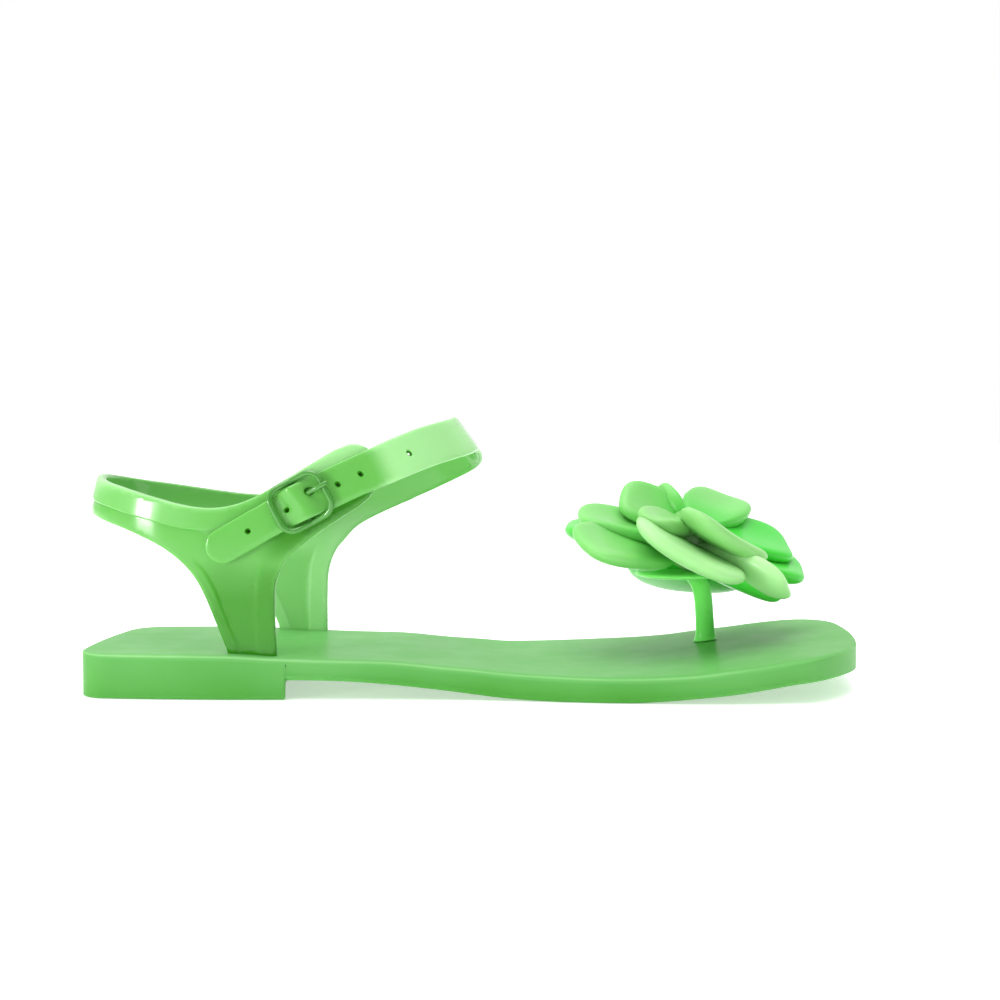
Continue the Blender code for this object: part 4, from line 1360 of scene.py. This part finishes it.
class SANDAL_OT_toe_post(Operator):
    """Post between the first two toes, flared at both ends"""

    bl_idname = "sandal.toe_post"
    bl_label = "Toe post"

    def execute(self, context):
        colours = context.scene.sandal_colours
        deselect()
        bpy.ops.mesh.primitive_uv_sphere_add(segments=32, ring_count=40, radius=1.0)
        post = start("toe_stem")
        top = PLATE_Z - PLATE_THICK / 2
        foot = footbed_height(POST_X / SOLE_LENGTH + 0.5)
        points = []
        for x, y, z in points_of(post):
            share = 0.5 + 0.5 * z
            radius = math.hypot(x, y)
            size = curve_value(POST_ROWS, 1, share)
            lean = curve_value(POST_ROWS, 2, share)
            full = POST_RADIUS * size * min(1.0, radius / 0.3) / max(radius, 1e-9)
            px = POST_X + (FLOWER_X - POST_X) * POST_LEAN * lean + full * x
            py = POST_Y + (FLOWER_Y - POST_Y) * POST_LEAN * lean + POST_FLAT * full * y
            base = footbed_height(px / SOLE_LENGTH + 0.5) - POST_SINK
            points.append((px, py, base + (top - base) * share))
        reshape(post, points, 60.0)
        # Painted shade towards the foot of the post, where it meets the footbed.
        set_shade(post, [0.3 * (1 - smooth_step(p[2], foot, top)) for p in points])
        material = plastic(
            "post_plastic", colours.post, colours.petal_shade_green, colours.lit_green,
            roughness=0.3, subsurface=0.5, gloss=0.3,
        )
        finish_piece(post, material, "post_jelly", "toe_post")
        return {"FINISHED"}


class SANDAL_OT_flower(Operator):
    """Flower: base plate, hub and three rings of thick cupped petals"""

    bl_idname = "sandal.flower"
    bl_label = "Flower"

    def execute(self, context):
        sizes = context.scene.sandal_sizes
        colours = context.scene.sandal_colours
        material = plastic(
            "petal_plastic", colours.petal, colours.petal_shade_green, colours.petal_lit_green,
            roughness=0.35, subsurface=0.4, gloss=0.5, grain=0.03,
        )
        green = plastic(
            "base_plastic", colours.post, colours.petal_shade_green, colours.lit_green,
            roughness=0.3, subsurface=0.4, gloss=0.4,
        )
        centre = Vector((FLOWER_X, FLOWER_Y, PLATE_Z))
        self.disc("flower_base", PLATE_RADIUS, PLATE_THICK, centre, 0.0, green, "flower")
        heart = flower_hub(HUB_LEVEL)
        self.disc("flower_heart", HUB_RADIUS, HUB_THICK, heart, FLOWER_TILT, material)
        deselect()
        bpy.ops.mesh.primitive_uv_sphere_add(
            segments=sizes.petal_segments, ring_count=sizes.petal_segments - 8, radius=1.0
        )
        model = start("petal_model")
        unit = points_of(model)
        for i, (level, x, y, z, width, roll, shade) in enumerate(PETAL_ROWS):
            petal = model.copy()
            petal.data = model.data.copy()
            petal.name = "petal_" + str(i + 1)
            petal.data.name = petal.name
            bpy.context.collection.objects.link(petal)
            # Painted shade towards each petal's root by the hub, added to the petal's painted light
            # and shade from the table.
            root = 1 - smooth_step(unit[:, 0], -0.8, 0.5)
            set_shade(petal, shade + 0.35 * root)
            tip = Vector((x, y, z)) * MM
            reshape(petal, self.shape(unit, level, tip, width * MM, roll, sizes), 80.0)
            finish_piece(petal, material, "petal_jelly")
        bpy.data.objects.remove(model)
        return {"FINISHED"}

    @staticmethod
    def shape(unit, level, tip, width, roll, sizes):
        """Points of a petal from its hub to its tip: blunt, cupped and thick to the rim."""
        hub = flower_hub(level)
        ahead = tip - hub
        length = ahead.length
        ahead.normalize()
        side = flower_axis().cross(ahead).normalized()
        side = Matrix.Rotation(math.radians(roll), 3, ahead) @ side
        up = ahead.cross(side)
        share = np.clip(np.hypot(unit[:, 0], unit[:, 1]), 1e-9, 1)
        ahead_unit, side_unit = [
            np.sign(part) * (np.abs(part) / share) ** (2 / PETAL_POWER) * share
            for part in (unit[:, 0], unit[:, 1])
        ]
        along = length * (0.54 + 0.46 * ahead_unit)
        taper = 0.5 + 0.5 * smooth_step(along, 0.0, 0.55 * length)
        aside = width / 2 * side_unit * taper
        cup = sizes.petal_cup
        bow = cup * (2 * aside / width) ** 2 + cup * ((along / length) ** 2 - 1)
        half = sizes.petal_thick / 2 * np.sqrt(np.clip(1 - share**7, 0, 1))
        half *= 0.6 + 0.4 * smooth_step(along / length, 0.1, 0.5)
        rise = bow + np.sign(unit[:, 2]) * half
        return (
            np.array(hub)
            + along[:, None] * np.array(ahead)
            + aside[:, None] * np.array(side)
            + rise[:, None] * np.array(up)
        )

    @staticmethod
    def disc(name, radius, thick, centre, tilt, material, *nodes):
        """Round disc with a full rim, shaped from a sphere."""
        deselect()
        bpy.ops.mesh.primitive_uv_sphere_add(segments=48, ring_count=24, radius=1.0)
        disc = start(name)
        turn = Matrix.Rotation(tilt, 3, "Y")
        points = []
        for x, y, z in points_of(disc):
            share = min(math.hypot(x, y), 1.0)
            half = math.copysign(thick / 2 * (1 - share**8) ** 0.5, z)
            points.append(centre + turn @ Vector((x * radius, y * radius, half)))
        reshape(disc, points, 60.0)
        finish_piece(disc, material, "petal_jelly", *nodes)


class SANDAL_OT_studio(Operator):
    """Pale floor, white surround, soft lights and the camera"""

    bl_idname = "sandal.studio"
    bl_label = "Studio"

    def execute(self, context):
        studio = context.scene.sandal_studio
        context.scene.view_settings.view_transform = "Standard"
        deselect()
        bpy.ops.mesh.primitive_plane_add(size=40.0)
        floor = start("floor")
        board = Board(bpy.data.materials.new("floor_paper"))
        paper = board.mix(board.noise(60.0, 3.0), (0.9, 0.91, 0.9, 1), (0.94, 0.94, 0.94, 1))
        floor.data.materials.append(board.finish({
            "Base Color": paper,
            "Roughness": 0.6,
            "Emission Color": (1, 1, 1, 1),
            "Emission Strength": studio.glow,
        }))
        context.scene.world = self.surround(studio)
        sun = bpy.data.lights.new("top_light", "SUN")
        sun.angle = math.radians(50)
        sun.energy = studio.key
        self.hang(sun, (-0.15, -0.2, 0.9), (0.0, 0.0, 0.03))
        panel = bpy.data.lights.new("left_light", "AREA")
        panel.size = 0.15
        panel.energy = studio.strip
        self.hang(panel, (-0.775, -0.624, 0.13), (-0.1, -0.03, 0.06))
        camera = bpy.data.cameras.new("camera")
        camera.lens = studio.lens / MM
        camera.sensor_width = 36.0
        view = bpy.data.objects.new("camera", camera)
        context.collection.objects.link(view)
        view.location = CAMERA_PLACE
        view.rotation_euler = (math.pi / 2 - CAMERA_DOWN, 0.0, CAMERA_LEFT)
        context.scene.camera = view
        return {"FINISHED"}

    @staticmethod
    def surround(studio):
        """White behind the shoe and above it, greyer on the near side."""
        board = Board(bpy.data.worlds.new("surround"), "Background")
        _, depth, height = board.split(board.node("ShaderNodeTexCoord", out="Generated"))
        near = board.ramp(depth, -0.2, 0.5, studio.near, studio.far, "LINEAR")
        above = board.ramp(height, 0.4, 0.9, 0.0, studio.above, "LINEAR")
        return board.finish({"Color": (1, 1, 1, 1), "Strength": near + above})

    @staticmethod
    def hang(light, place, target):
        """Hang a light at its place, aimed at the target."""
        lamp = bpy.data.objects.new(light.name, light)
        bpy.context.collection.objects.link(lamp)
        lamp.location = place
        aim = Vector(target) - Vector(place)
        lamp.rotation_euler = aim.to_track_quat("-Z", "Y").to_euler()


class SANDAL_PT_pieces(Panel):
    """Lists the sandal's pieces, sizes and colours"""

    bl_idname = "SANDAL_PT_pieces"
    bl_label = "Jelly Sandal"
    bl_space_type = "VIEW_3D"
    bl_region_type = "UI"
    bl_category = "Sandal"

    def draw(self, context):
        for step in STEPS:
            self.layout.operator(step.bl_idname)
        for name, group in GROUPS:
            box = self.layout.box()
            for setting in group.__annotations__:
                box.prop(getattr(context.scene, name), setting)


GROUPS = (
    ("sandal_sizes", SandalSizes),
    ("sandal_colours", SandalColours),
    ("sandal_studio", SandalStudio),
)
STEPS = (
    SANDAL_OT_sole,
    SANDAL_OT_harness,
    SANDAL_OT_buckle,
    SANDAL_OT_toe_post,
    SANDAL_OT_flower,
    SANDAL_OT_studio,
)


def register():
    for name, group in GROUPS:
        bpy.utils.register_class(group)
        setattr(bpy.types.Scene, name, PointerProperty(type=group))
    for step in STEPS:
        bpy.utils.register_class(step)
    bpy.utils.register_class(SANDAL_PT_pieces)


def unregister():
    bpy.utils.unregister_class(SANDAL_PT_pieces)
    for step in reversed(STEPS):
        bpy.utils.unregister_class(step)
    for name, group in reversed(GROUPS):
        delattr(bpy.types.Scene, name)
        bpy.utils.unregister_class(group)


def main():
    register()
    bpy.ops.sandal.sole()
    bpy.ops.sandal.harness()
    bpy.ops.sandal.buckle()
    bpy.ops.sandal.toe_post()
    bpy.ops.sandal.flower()
    bpy.ops.sandal.studio()


if __name__ == "__main__":
    main()
